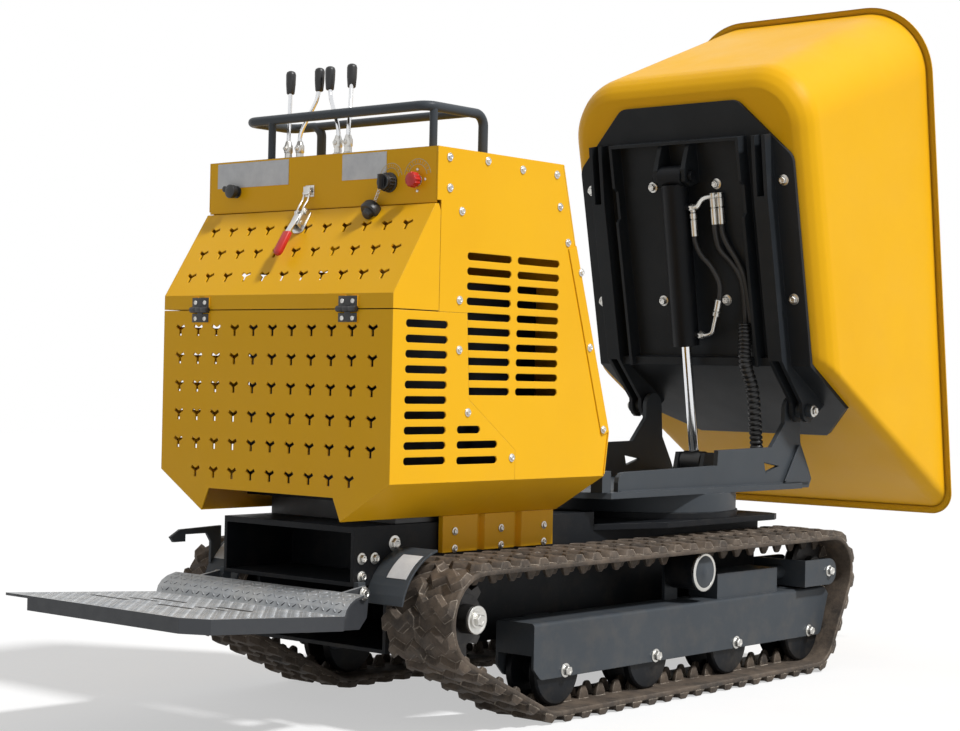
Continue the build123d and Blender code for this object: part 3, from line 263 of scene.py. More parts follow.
def chequer_steel():
    """Deck plate: galvanised on faces that look up; faces that turn sideways or down are dark, painted shade
    of the skirt and the underside.
    """
    p = Paint("deck_steel")
    tone = p.span(p.noise(20.0, 6.0, 0.65), 0.35, 0.68)
    zinc = p.mix(tone, (0.40, 0.415, 0.43), (0.27, 0.285, 0.30))
    rub = p.span(p.noise(6.0, 7.0, 0.7, (1, 3, 1)), 0.45, 0.65)
    zinc = p.mix(p.math("MULTIPLY", rub, 0.35), zinc, (0.50, 0.49, 0.46))
    coord = p.tree.nodes.new("ShaderNodeTexCoord")
    split = p.tree.nodes.new("ShaderNodeSeparateXYZ")
    p.link(coord.outputs["Normal"], split.inputs[0])
    # Faces that turn sideways or down take the dark colour: painted shade
    above = p.span(split.outputs["Z"], 0.12, 0.2)
    body = p.mix(above, (0.030, 0.033, 0.038), zinc)
    roughness = p.span(p.noise(45.0, 6.0, 0.7), 0.3, 0.7, 0.42, 0.62)
    p.link(p.math("MULTIPLY", above, 0.45), p.shader.inputs["Metallic"])
    normal = p.bump(p.noise(500.0, 4.0, 0.7), 0.0001, 0.5, p.rounded(0.0012))
    p.link(body, p.shader.inputs["Base Color"])
    p.link(roughness, p.shader.inputs["Roughness"])
    p.link(normal, p.shader.inputs["Normal"])
    return p.material


def ram_steel():
    """Chromed rod with its eye painted black."""
    p = Paint("ram_steel")
    split = p.tree.nodes.new("ShaderNodeSeparateXYZ")
    p.link(p.coord, split.inputs[0])
    pin = at(EYE[0], 0, EYE[1])
    dx = p.math("SUBTRACT", split.outputs["X"], pin.x)
    dz = p.math("SUBTRACT", split.outputs["Z"], pin.z)
    apart = p.math("ADD", p.math("MULTIPLY", dx, dx), p.math("MULTIPLY", dz, dz))
    shank = p.span(apart, EYE_PAINT ** 2, (EYE_PAINT + 0.001) ** 2)
    body = p.mix(shank, (0.012, 0.013, 0.015), (0.78, 0.79, 0.80))
    p.link(shank, p.shader.inputs["Metallic"])
    roughness = p.span(shank, 0.0, 1.0, 0.42, 0.14)
    normal = p.bump(p.noise(500.0, 3.0, 0.6, (1, 1, 12)), 0.00003, 0.5, p.rounded(0.0012))
    p.link(body, p.shader.inputs["Base Color"])
    p.link(roughness, p.shader.inputs["Roughness"])
    p.link(normal, p.shader.inputs["Normal"])
    return p.material


YELLOW, YELLOW_DEEP, YELLOW_WORN = (0.94, 0.50, 0.008), (0.90, 0.465, 0.007), (0.95, 0.70, 0.25)
BLACK_WORN = (0.12, 0.125, 0.13)

M = {
    "yellow_paint": enamel("yellow_paint", YELLOW, YELLOW_DEEP, 0.38, 0.05, 0.75, 0.3, YELLOW_WORN, 0.2),
    "charcoal_steel": enamel("charcoal_steel", (0.058, 0.067, 0.077), (0.046, 0.054, 0.063), 0.44,
                             0.12, 0.50, 0.45, (0.22, 0.23, 0.24), 0.2),
    "black_steel": enamel("black_steel", (0.010, 0.0115, 0.014), (0.006, 0.007, 0.009), 0.45,
                          0.10, 0.50, 0.4, BLACK_WORN, 0.14),
    "track_rubber": rubber("track_rubber", (0.085, 0.062, 0.045), (0.024, 0.019, 0.015),
                           (0.175, 0.132, 0.095), (0.50, 0.43, 0.35)),
    "hose_rubber": plastic("hose_rubber", (0.014, 0.014, 0.015), (0.022, 0.021, 0.020), 0.5),
    "black_plastic": plastic("black_plastic", (0.012, 0.012, 0.013), (0.020, 0.020, 0.020), 0.38),
    "deck_steel": chequer_steel(),
    "bare_steel": metal("bare_steel", (0.055, 0.052, 0.050), (0.020, 0.019, 0.019), 0.42, metallic=0.7),
    "chrome_rod": metal("chrome_rod", (0.78, 0.79, 0.80), (0.70, 0.71, 0.73), 0.14,
                        stretch=(1, 1, 12), depth=0.00003),
    "zinc_steel": metal("zinc_steel", (0.66, 0.65, 0.62), (0.50, 0.49, 0.46), 0.30),
}
TUB = enamel("tub_paint", YELLOW, YELLOW_DEEP, 0.42, 0.04, 0.75, 0.3, YELLOW_WORN, 0.15, 0.022)
FRAME = enamel("frame_black", (0.027, 0.031, 0.036), (0.013, 0.015, 0.017), 0.44,
               0.08, 0.75, 0.15, (0.12, 0.12, 0.13), 0.14)
RED = plastic("red_grip", (0.62, 0.022, 0.016), (0.50, 0.016, 0.012), 0.36)
LABEL = plastic("blank_label", (0.72, 0.73, 0.74), (0.60, 0.61, 0.63), 0.34, grain=900.0, depth=0.00004)
DIAL = plastic("dial_marks", (0.78, 0.60, 0.27), (0.66, 0.50, 0.22), 0.4)
# Colour of the inlays in the deck slots: painted shade of the open holes
PAINTED_SHADE = plastic("painted_shade_opening", (0.006, 0.006, 0.007), (0.010, 0.010, 0.010), 0.7)


# Mesh building

class Mesh:
    """One piece of the scene, gathered from shapes given in the part's metres."""

    def __init__(self, name):
        self.name = name
        self.bm = bmesh.new()

    def rings(self, rings, closed=True, caps=True):
        """Skin over rings of points with equal counts."""
        rows = [[self.bm.verts.new(p) for p in ring] for ring in rings]
        count = len(rows[0])
        for a, b in zip(rows, rows[1:]):
            for i in range(count if closed else count - 1):
                j = (i + 1) % count
                self.bm.faces.new((a[i], a[j], b[j], b[i]))
        if caps:
            self.bm.faces.new(list(reversed(rows[0])))
            self.bm.faces.new(rows[-1])
        return rows

    def loop(self, rings):
        """Skin over rings that close on the first one."""
        rows = [[self.bm.verts.new(p) for p in ring] for ring in rings]
        count = len(rows[0])
        for k, a in enumerate(rows):
            b = rows[(k + 1) % len(rows)]
            for i in range(count):
                j = (i + 1) % count
                self.bm.faces.new((a[i], a[j], b[j], b[i]))

    def turned(self, base, axis, profile, sides=20):
        """Revolved shape on a base point: profile pairs are (distance along the axis, radius), in mm."""
        axis = Vector(axis).normalized()
        side = axis.orthogonal().normalized()
        up = axis.cross(side)
        rings = []
        for along, radius in profile:
            ring = []
            for k in range(sides):
                a = 2 * math.pi * k / sides
                around = side * math.cos(a) + up * math.sin(a)
                ring.append(base + axis * along / 1000 + around * radius / 1000)
            rings.append(ring)
        return self.rings(rings)

    def bolt(self, base, axis, across=13.0, high=7.0, washer=10.5):
        """Washer, and a hexagon head with its chamfer and a shallow dish."""
        r = across / 2 / math.cos(math.radians(30))
        self.turned(base, axis, [(-0.5, washer), (1.4, washer), (1.8, washer - 0.8)])
        head = [(1.0, r), (high * 0.82, r), (high, r * 0.86), (high, r * 0.55), (high - 1, r * 0.4)]
        self.turned(base, axis, head, 6)

    def tube(self, points, radius, sides=12, caps=True, radii=None):
        """Round tube along points, with steady turning of its section."""
        rings = []
        side = None
        for i, p in enumerate(points):
            a, b = points[max(i - 1, 0)], points[min(i + 1, len(points) - 1)]
            along = (b - a).normalized()
            side = along.orthogonal() if side is None else side - along * side.dot(along)
            side.normalize()
            up = along.cross(side)
            r = (radii[i] if radii else radius) / 1000
            rings.append([p + (side * math.cos(t) + up * math.sin(t)) * r
                          for t in (2 * math.pi * k / sides for k in range(sides))])
        return self.rings(rings, caps=caps)

    def slab(self, outline, offset, drop=0.0, inset=0.0):
        """Plate from an outline: its top is moved by offset and shrunk towards the middle by inset in mm."""
        offset = Vector(offset)
        middle = sum(outline, Vector()) / len(outline)
        low = [p - offset * drop for p in outline]
        rim = [p + offset * 0.6 for p in outline]
        top = [p + offset + (middle - p).normalized() * inset / 1000 for p in outline]
        return self.rings([low, rim, top])

    def done(self, body, slot, material=None, smooth=40.0, bevel=0.0, thick=0.0, replaces=()):
        """Object of the gathered shapes, on its body; bevel and thick are in millimetres."""
        bmesh.ops.recalc_face_normals(self.bm, faces=self.bm.faces)
        mesh = bpy.data.meshes.new(self.name)
        self.bm.to_mesh(mesh)
        self.bm.free()
        obj = bpy.data.objects.new(self.name, mesh)
        bpy.context.scene.collection.objects.link(obj)
        mesh.materials.append(material or M[slot])
        if bevel:
            m = obj.modifiers.new("bevel", "BEVEL")
            m.width = bevel / 1000
            m.segments = 2
            m.limit_method = "ANGLE"
            m.angle_limit = math.radians(35)
        if thick:
            m = obj.modifiers.new("thick", "SOLIDIFY")
            m.thickness = thick / 1000
            m.offset = 0.0
        if bevel or thick:
            apply_modifiers(obj)
        obj.data.shade_smooth()
        obj.data.set_sharp_from_angle(angle=math.radians(smooth))
        if replaces:
            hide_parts(*replaces)
        if isinstance(body, str):
            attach(obj, body)
        return obj


def apply_modifiers(obj):
    graph = bpy.context.evaluated_depsgraph_get()
    mesh = bpy.data.meshes.new_from_object(obj.evaluated_get(graph))
    obj.modifiers.clear()
    obj.data = mesh


def smooth_line(points, steps=8):
    """Rounded line through the points (Catmull-Rom)."""
    pts = [points[0]] + list(points) + [points[-1]]
    out = []
    for i in range(1, len(pts) - 2):
        a, b, c, d = pts[i - 1:i + 3]
        for k in range(steps):
            t = k / steps
            square = (2 * a - 5 * b + 4 * c - d) * t * t
            cube = (3 * b - a - 3 * c + d) * t ** 3
            out.append(0.5 * ((2 * b) + (c - a) * t + square + cube))
    return out + [points[-1]]


# Camera, floor and light

def camera():
    data = bpy.data.cameras.new("camera")
    data.lens = LENS
    data.sensor_width = SENSOR
    data.shift_x, data.shift_y = SHIFT
    data.clip_end = 100
    obj = bpy.data.objects.new("camera", data)
    bpy.context.scene.collection.objects.link(obj)
    yaw, pitch, roll = (math.radians(a) for a in (YAW, PITCH, ROLL))
    forward = Vector((math.cos(yaw) * math.cos(pitch), math.sin(yaw) * math.cos(pitch), math.sin(pitch)))
    right = Vector((math.sin(yaw), -math.cos(yaw), 0))
    up = right.cross(forward)
    across = right * math.cos(roll) + up * math.sin(roll)
    above = up * math.cos(roll) - right * math.sin(roll)
    turn = Matrix((across, above, -forward)).transposed().to_4x4()
    obj.matrix_world = Matrix.Translation(Vector(CAMERA_AT)) @ turn
    bpy.context.scene.camera = obj


def seen_directly(tree):
    """1 for rays from the camera, mirrors and glass, 0 for the rest."""
    path = tree.nodes.new("ShaderNodeLightPath")
    value = path.outputs["Is Camera Ray"]
    for name in ("Is Glossy Ray", "Is Transmission Ray"):
        n = tree.nodes.new("ShaderNodeMath")
        n.operation = "MAXIMUM"
        tree.links.new(value, n.inputs[0])
        tree.links.new(path.outputs[name], n.inputs[1])
        value = n.outputs[0]
    return value


def surroundings():
    world = bpy.data.worlds.new("world")
    bpy.context.scene.world = world
    world.use_nodes = True
    tree = world.node_tree
    background = tree.nodes["Background"]
    background.inputs["Color"].default_value = (1, 1, 1, 1)
    strength = tree.nodes.new("ShaderNodeMapRange")
    strength.inputs["To Min"].default_value = SKY
    strength.inputs["To Max"].default_value = 1.0
    tree.links.new(seen_directly(tree), strength.inputs["Value"])
    tree.links.new(strength.outputs["Result"], background.inputs["Strength"])
    sun = bpy.data.lights.new("sun", "SUN")
    sun.energy = SUN_STRENGTH
    sun.angle = math.radians(SUN_SOFT)
    lamp = bpy.data.objects.new("sun", sun)
    bpy.context.scene.collection.objects.link(lamp)
    lamp.rotation_euler = Vector(SUN_FROM).to_track_quat("Z", "Y").to_euler()
    floor = bpy.data.meshes.new("floor")
    corners = [(x * FLOOR_HALF, y * FLOOR_HALF, 0) for x, y in ((-1, -1), (1, -1), (1, 1), (-1, 1))]
    floor.from_pydata(corners, [], [(0, 1, 2, 3)])
    obj = bpy.data.objects.new("floor", floor)
    bpy.context.scene.collection.objects.link(obj)
    p = Paint("floor")
    tone = p.mix(p.span(p.noise(1.5, 3.0), 0.3, 0.7), (0.50, 0.50, 0.50), (0.47, 0.47, 0.47))
    p.finish(tone, p.span(p.noise(8.0), 0.0, 1.0, 0.8, 0.9), p.bump(p.noise(60.0), 0.0002))
    p.shader.inputs["Specular IOR Level"].default_value = 0.0
    glow = p.tree.nodes.new("ShaderNodeEmission")
    add = p.tree.nodes.new("ShaderNodeAddShader")
    p.link(p.span(seen_directly(p.tree), 0.0, 1.0, 0.0, FLOOR_GLOW), glow.inputs["Strength"])
    p.link(p.shader.outputs[0], add.inputs[0])
    p.link(glow.outputs[0], add.inputs[1])
    p.link(add.outputs[0], p.tree.nodes["Material Output"].inputs["Surface"])
    floor.materials.append(p.material)


# Tracks

def belt_pieces():
    """Arcs and straight runs round the wheels, as (kind, data, start angle, end angle)."""
    tangents = []
    for i, (x0, z0, r0) in enumerate(CIRCLES):
        x1, z1, r1 = CIRCLES[(i + 1) % len(CIRCLES)]
        tangents.append(math.atan2(z1 - z0, x1 - x0) - math.acos((r0 - r1) / math.hypot(x1 - x0, z1 - z0)))
    out = []
    for i, (x, z, r) in enumerate(CIRCLES):
        start, end = tangents[i - 1], tangents[i]
        while end < start:
            end += 2 * math.pi
        out.append(("arc", (x, z, r), start, end))
        x1, z1, r1 = CIRCLES[(i + 1) % len(CIRCLES)]
        a = (x + r * math.cos(end), z + r * math.sin(end))
        b = (x1 + r1 * math.cos(end), z1 + r1 * math.sin(end))
        out.append(("run", (a, b), end, end))
    return out


BELT_PIECES = belt_pieces()


def piece_length(piece):
    if piece[0] == "arc":
        return (piece[1][2] + BELT / 2) * (piece[3] - piece[2])
    return math.dist(*piece[1])


BELT_TOTAL = sum(piece_length(p) for p in BELT_PIECES)


def belt_point(s, out):
    """Point in the side view at distance s along the belt, raised from its inner face by out."""
    s %= BELT_TOTAL
    for piece in BELT_PIECES:
        length = piece_length(piece)
        if s <= length:
            break
        s -= length
    t = s / length
    if piece[0] == "arc":
        x, z, r = piece[1]
        angle = piece[2] + t * (piece[3] - piece[2])
        return x + (r + out) * math.cos(angle), z + (r + out) * math.sin(angle)
    (x0, z0), (x1, z1) = piece[1]
    angle = piece[2]
    return x0 + (x1 - x0) * t + out * math.cos(angle), z0 + (z1 - z0) * t + out * math.sin(angle)


def track(side):
    """Belt with chevron lugs in two staggered rows outside and guide horns inside."""
    name = "left" if side > 0 else "right"
    mesh = Mesh("tread_" + name)

    def place(s, y, out):
        x, z = belt_point(s, out)
        return at(x, side * y, z)

    section = [(TRACK_IN, 3), (TRACK_IN + 2, 0.4), (TRACK_OUT - 2, 0.4), (TRACK_OUT, 3), (TRACK_OUT, 9),
               (TRACK_OUT - 3, BELT), (TRACK_MID, BELT), (TRACK_IN + 3, BELT), (TRACK_IN, 9)]
    mesh.loop([[place(k * BELT_TOTAL / BELT_STEPS, y, out) for y, out in section]
               for k in range(BELT_STEPS)])
    profile = ((-18, -1.0), (-17, 2.0), (-10, LUG - 0.6), (10, LUG - 0.6), (17, 2.0), (18, -1.0))
    count = round(BELT_TOTAL / LUG_PITCH)
    rows = ((TRACK_MID - 4, TRACK_OUT, 0.0, 1), (TRACK_IN, TRACK_MID + 4, 0.5, -1))
    for y0, y1, phase, lean in rows:
        for i in range(count):
            s0 = (i + phase) * BELT_TOTAL / count
            rings = []
            for share, push in ((0.0, -9), (0.24, 6), (0.5, -9), (0.78, 10), (1.0, -2)):
                y = y0 + (y1 - y0) * share
                end = share in (0.0, 1.0)
                inward = (4 if share == 0.0 else -4) if end else 0
                ring = []
                for along, out in profile:
                    shifted = y + inward * max(out, 0) / LUG
                    ring.append(place(s0 + along + push * lean, shifted, BELT + out))
                rings.append(ring)
            mesh.rings(rings)
    for i in range(count):
        s0 = (i + 0.25) * BELT_TOTAL / count
        x, z = belt_point(s0, 0)
        if abs(x - CARRIER_X) < 75 and z > 200:
            continue
        for middle in (-17.0, 17.0):
            rings = []
            for out, long, wide in ((1.0, 17, 5.5), (-12, 14, 5.0), (-24, 8, 4.0), (-27, 5, 2.5)):
                inner, bulge = long * 0.6, wide * 1.15
                corners = ((-long, -wide), (-inner, -bulge), (inner, -bulge), (long, -wide),
                           (long, wide), (inner, bulge), (-inner, bulge), (-long, wide))
                rings.append([place(s0 + a, TRACK_MID + middle + b, out) for a, b in corners])
            mesh.rings(rings)
    return mesh.done("chassis", "track_rubber", smooth=30.0, bevel=1.6, replaces=["track_" + name])


# Run gear: bolts of the track frames, rings and caps of the wheels

SPROCKET, CARRIER = (222, 230), (1015, 275)
WHEEL_FACE = 366
CHASSIS_BOLTS = ((77, 309, 14), (76, 345, 14), (113, 344, 14), (170, 371, 19))
SPROCKET_RING = [(-4, 28), (-1, 29), (1.5, 28), (2.6, 25), (1.6, 22), (0.4, 20)]
CARRIER_RING = [(-7, 43.8), (-2, 45), (0.5, 44.5), (2.5, 41), (1.6, 36.5), (0.4, 36)]
CARRIER_CAP = [(-2, 36.5), (1.2, 36.2), (2.0, 34), (1.2, 12), (2.4, 10), (2.6, 3)]


def run_gear():
    bolts, rims, caps = Mesh("chassis_bolts"), Mesh("bright_rings"), Mesh("carrier_caps")
    for side in (-1, 1):
        out = (0, side, 0)
        for x in (527, 851, 1175, 1501):
            bolts.bolt(at(x, side * 351, 99), out, 19, 12, 15)
        bolts.bolt(at(1552, side * 374, 245), out, 19, 12, 14)
        rims.turned(at(SPROCKET[0], side * WHEEL_FACE, SPROCKET[1]), out, SPROCKET_RING, 40)
        bolts.bolt(at(SPROCKET[0], side * (WHEEL_FACE + 0.2), SPROCKET[1]), out, 22, 13, 16)
        rims.turned(at(CARRIER[0], side * WHEEL_FACE, CARRIER[1]), out, CARRIER_RING, 48)
        caps.turned(at(CARRIER[0], side * (WHEEL_FACE + 0.2), CARRIER[1]), out, CARRIER_CAP, 48)
        for x, z, across in CHASSIS_BOLTS:
            bolts.bolt(at(x, side * 188, z), out, across, 9, across * 0.85)
        for x in (338, 487, 632):
            for z in (352, 388):
                bolts.bolt(at(x, side * 201.4, z), out, 10, 5, 8.5)
        bolts.bolt(at(60, side * 213, 280), out, 17, 8, 13)
    bolts.done("chassis", "zinc_steel", smooth=30.0)
    rims.done("chassis", "zinc_steel", smooth=35.0)
    caps.done("chassis", "charcoal_steel", smooth=35.0)


# Cowl

SIDE_BOLTS = ((153, 1136), (268, 1139), (378, 1132), (490, 1132), (155, 1076), (192, 1033),
              (190, 858), (192, 760), (222, 637), (361, 545), (503, 1066), (532, 993))
STRIP_BOLTS = ((577, 933), (612, 775), (665, 600))
STRIP_THICK = 2.3
SCREW = [(-0.4, 5.0), (0.9, 4.8), (2.2, 3.2), (2.2, 1.9), (1.2, 1.7)]
LEAF_HALF, KNUCKLE_HALF, KNUCKLE_GAP, KNUCKLE_R = 25.0, 8.0, 0.4, 6.2
PLATE_SPANS = ((86, 304), (-193, -70))
PLATE_PROFILE = ((118.6, 1099), (118.6, 1148), (119.6, 1153), (123, 1155.5), (150, 1155.5))


def cowl_bolts():
    bolts = Mesh("cowl_bolts")
    for side in (-1, 1):
        for x, z in SIDE_BOLTS:
            bolts.bolt(at(x, side * COWL_HALF, z), (0, side, 0), 10, 5.5, 8.5)
        for x, z in STRIP_BOLTS:
            bolts.bolt(at(x, side * (COWL_HALF + STRIP_THICK), z), (0, side, 0), 10, 5.5, 8.5)
    bolts.done("chassis", "zinc_steel", smooth=30.0)


def hatch_hinges():
    """Leaves on the rear cover and on the hatch, with their knuckles, tongues and screws."""
    leaves, screws = Mesh("hinge_leaves"), Mesh("hinge_screws")
    lid_leaves, lid_screws = Mesh("hatch_hinge_leaves"), Mesh("hatch_hinge_screws")
    halves = ((leaves, screws, 808.5, 826, 816), (lid_leaves, lid_screws, 837, 859, 849))

    def sheet(mesh, x, y, y0, y1, z0, z1, offset, inset):
        outline = [at(x, y + dy, z) for dy, z in ((y0, z0), (y1, z0), (y1, z1), (y0, z1))]
        mesh.slab(outline, (-offset, 0, 0), 0.5, inset)

    edge = KNUCKLE_HALF + KNUCKLE_GAP
    for y in (-HINGE_Y, HINGE_Y):
        for mesh, heads, z0, z1, screw_z in halves:
            sheet(mesh, -3, y, -LEAF_HALF, LEAF_HALF, z0, z1, 0.0012, 1.0)
            for dy in (-14, 14):
                heads.turned(at(-4.2, y + dy, screw_z), (-1, 0, 0), SCREW, 16)
        knuckles = ((leaves, -KNUCKLE_HALF, KNUCKLE_HALF),
                    (lid_leaves, -LEAF_HALF - 0.5, -edge), (lid_leaves, edge, LEAF_HALF + 0.5))
        for mesh, y0, y1 in knuckles:
            barrel = [(0, KNUCKLE_R), (y1 - y0, KNUCKLE_R)]
            mesh.turned(at(HINGE_PIN_X, y + y0, HINGE_PIN_Z), (0, 1, 0), barrel, 20)
        sheet(leaves, -4.2, y, -KNUCKLE_HALF, KNUCKLE_HALF, 824, HINGE_PIN_Z, 0.0006, 0.2)
        for y0, y1 in ((-LEAF_HALF, -edge), (edge, LEAF_HALF)):
            sheet(lid_leaves, -4.2, y, y0, y1, HINGE_PIN_Z, 838, 0.0006, 0.2)
    leaves.done("chassis", "black_plastic", bevel=0.5)
    lid_leaves.done("hatch", "black_plastic", bevel=0.5)
    screws.done("chassis", "zinc_steel")
    lid_screws.done("hatch", "zinc_steel")


def console_plates():
    """Blank plates on the console, bent over its top edge."""
    plates = Mesh("blank_plates")
    for y0, y1 in PLATE_SPANS:
        rows = [[at(x, y, z) for y in (y0, y1)] for x, z in PLATE_PROFILE]
        plates.rings(rows, closed=False, caps=False)
    plates.done("chassis", "zinc_steel", LABEL, thick=0.7)


STARTER, STOP, DIAL_STOP_Z = (-203, 1089), (-277, 1090), 1097
STARTER_PROFILE = [(-0.5, 20), (3, 20), (4, 18), (13, 17), (16, 16), (22, 15.5), (23, 13), (21, 9), (21, 2)]
STOP_PROFILE = [(5, 7), (6, 12), (8, 14), (17, 14.5), (22, 13), (23.5, 9), (24, 3)]
CHOKE_PROFILE = [(-0.5, 13), (3, 13), (4, 9), (10, 9), (11, 14), (22, 14.5), (24, 12), (24.5, 4)]
SOCKET_PROFILE = [(0, 20), (4, 22), (16, 22), (19, 19), (19, 12), (21, 11), (27, 10), (28, 7)]
CHAIN_LINKS, LINK_R = 8, 0.0032


def chain_link(p, across):
    """Ring of one chain link about a point, in the plane that across picks."""
    line = []
    for j in range(11):
        t = 2 * math.pi * j / 10
        turn = (0, math.cos(t), math.sin(t)) if across else (math.cos(t), 0, math.sin(t))
        line.append(p + Vector(turn) * LINK_R)
    return line


def console_controls():
    face = CONSOLE_X
    black, red = Mesh("console_black"), Mesh("console_red")
    bright, dial = Mesh("console_bright"), Mesh("console_dials")
    back = (-1, 0, 0)

    def on_circle(x, y, z, radius, degrees):
        a = math.radians(degrees)
        return at(x, y + radius * math.cos(a), z + radius * math.sin(a))

    key_y, key_z = STARTER
    black.turned(at(face, key_y, key_z), back, STARTER_PROFILE, 36)
    key = [at(face - 22, key_y + dy, key_z + dz) for dy, dz in ((-2, -15), (2, -15), (2.6, 15), (-2.6, 15))]
    black.slab(key, (-0.012, 0, 0), 0.2, 1.0)
    for k in range(18):
        p = on_circle(face - 9, key_y, key_z, 17.5, 20 * k)
        black.turned(p + Vector((0.006, 0, 0)), back, [(0, 1.3), (12, 1.3)], 6)
    stop_y, stop_z = STOP
    red.turned(at(face, stop_y, stop_z), back, STOP_PROFILE, 28)
    for k in range(12):
        p = on_circle(face - 7, stop_y, stop_z, 13.6, 30 * k)
        red.turned(p, back, [(0, 2.0), (12, 2.0), (14, 1.1)], 8)
    bright.turned(at(face, stop_y, stop_z), back, [(-0.5, 12), (2, 12), (3, 9), (7, 8)], 20)
    black.turned(at(face, 243, 1090), back, CHOKE_PROFILE, 28)
    black.turned(at(face, 264, 1096), back, [(-0.5, 8), (3, 8), (4, 6), (18, 6.5), (20, 4)], 20)
    black.turned(at(112, -168, 1040), (-0.75, 0.1, -0.62), SOCKET_PROFILE, 32)
    for k in range(CHAIN_LINKS):
        p = at(face - 26 + 1.6 * k, -198 + 3.6 * k, 1072 - 4 * k)
        bright.tube(chain_link(p, k % 2), 0.7, 6)
    for y, inner, outer in ((-206, 21, 30), (stop_y, 25, 35)):
        for r in (inner, outer):
            arc = [on_circle(face - 0.1, y, DIAL_STOP_Z, r, a) for a in range(10, 171, 8)]
            dial.tube(arc, 1.1, 6)
        for a in range(25, 156, 13):
            mark = [on_circle(face - 0.1, y, DIAL_STOP_Z, r, a) for r in (inner + 2.5, outer - 2.5)]
            dial.tube(mark, 0.9, 6)
    for y, z in ((-277, 1111), (-297, 1091), (-277, 1069)):
        bright.turned(at(face, y, z), back, [(-0.4, 3.4), (1.6, 2.8), (2.4, 1.0)], 12)
    black.done("chassis", "black_plastic", replaces=["controls"])
    red.done("chassis", "black_plastic", RED)
    bright.done("chassis", "zinc_steel")
    dial.done("chassis", "zinc_steel", DIAL)


LEVERS = ((152, 123, 170, 139), (164, 101, 172, 55), (130, -45, 170, 22), (130, -74, 170, -41))
LEVER_FOOT, LEVER_NECK, LEVER_SHOULDER, LEVER_THROAT, LEVER_TOP = 1168, 1204, 1236, 1280, 1318
GRIP_PROFILE = [(0, 6.5), (2, 8.5), (22, 10.2), (42, 10.6), (47, 9), (49.5, 5), (50, 2)]
CLEVIS_PROFILE = [(0, 10), (2, 10.5), (4, 8), (14, 7.6), (16, 9.2), (30, 9.2), (32, 7.6), (38, 6),
                  (40, 4.6)]


def lever_set():
    """Four cranked levers; each stands over its foot (x, y) and holds its grip at (kx, ky)."""
    stems, grips, boots = Mesh("lever_stems"), Mesh("lever_grips"), Mesh("lever_clevises")
    for x, y, kx, ky in LEVERS:
        bend = 0.22 if abs(ky - y) < 40 else 0.12
        dx, dy = kx - x, ky - y
        shoulder = at(x + dx * (bend + 0.2), y + dy * (bend + 0.2), LEVER_SHOULDER)
        throat = at(kx - dx * bend, ky - dy * bend, LEVER_THROAT)
        line = [at(x, y, LEVER_FOOT), at(x, y, LEVER_NECK), shoulder, throat, at(kx, ky, LEVER_TOP)]
        stems.tube(smooth_line(line), 4.3, 12)
        grips.turned(at(kx, ky, 1296), (0.03, 0.02, 1), GRIP_PROFILE, 24)
        boots.turned(at(x, y, 1154.5), (0, 0, 1), CLEVIS_PROFILE, 20)
        boots.bolt(at(x - 9, y, 1178), (-1, 0, 0), 7, 4, 5)
    stems.done("chassis", "chrome_rod", smooth=60.0)
    boots.done("chassis", "zinc_steel")
    grips.done("chassis", "black_plastic", smooth=50.0, replaces=["levers"])


LATCH_PLATE = [(158, 4), (204, 6), (208, 14), (208, 26), (204, 34), (158, 36), (152, 28), (152, 12)]
LATCH_HANDLE = ((140, 10), (140, 28), (90, 29), (84, 26), (82, 19), (84, 12), (90, 9))
LATCH_PINS = ((196, 3, 13, [(0, 5.5), (2, 5.5), (2.5, 3.4), (31, 3.4), (31.5, 5.5), (34, 5.5)]),
              (170, 5, 12, [(0, 5), (2, 5), (2.5, 3), (27, 3), (27.5, 5), (30, 5)]))
KEEPER = ((119, (9, 34), (1070, 1094), 0.002), (117, (12, 31), (1074, 1079), 0.011),
          (110, (12, 31), (1074, 1091), 0.002))


def hatch_latch():
    body, grip, wires = Mesh("latch_body"), Mesh("latch_grip"), Mesh("latch_wires")
    out = on_hatch(0, 0, 1) - on_hatch(0, 0, 0)

    def plate(points, low, high):
        body.slab([on_hatch(a, y, low) for a, y in points], out * (high - low), 0.0, 0.8)

    plate(LATCH_PLATE, 0.2, 3.0)
    for y0, y1 in ((7, 10), (28, 31)):
        plate([(160, y0), (204, y0), (204, y1), (160, y1)], 2.5, 20.0)
    for along, y, height, profile in LATCH_PINS:
        body.turned(on_hatch(along, y, height), (0, 1, 0), profile, 16)
    arm = [on_hatch(a, y, o) for a, y, o in ((188, 11, 18), (188, 27, 18), (136, 26, 23), (136, 12, 23))]
    body.slab(arm, out * 3, 0.3, 0.6)
    grip.slab([on_hatch(a, y, 20) for a, y in LATCH_HANDLE], out * 9, 0.25, 2.0)
    for y in (12, 27):
        line = [on_hatch(170, y, 16), on_hatch(205, y, 21), at(104, y + 1, 1062), at(112, y + 2, 1083)]
        wires.tube(smooth_line(line), 2.1, 10)
    wires.tube([at(112, 13, 1083), at(112, 30, 1083)], 2.1, 10)
    body.done("hatch", "zinc_steel", bevel=0.5, replaces=["latch"])
    grip.done("hatch", "zinc_steel", RED, bevel=2.0)
    wires.done("hatch", "zinc_steel")
    keeper = Mesh("latch_keeper")
    for x, (y0, y1), (z0, z1), offset in KEEPER:
        outline = [at(x, y, z) for y, z in ((y0, z0), (y1, z0), (y1, z1), (y0, z1))]
        keeper.slab(outline, (-offset, 0, 0), 0.0, 0.5)
    keeper.done("chassis", "zinc_steel", bevel=0.4)


# Skip

def skip_fasteners():
    bolts = Mesh("skip_bolts")
    down = tipped(0, 0, -1) - tipped(0, 0, 0)
    for x in (-594, -297):
        for y in (-295, -98, 98, 295):
            bolts.bolt(tipped(x, y, BASE_BOTTOM), down, 17, 11, 14)
    bolts.done("skip", "zinc_steel", smooth=30.0)


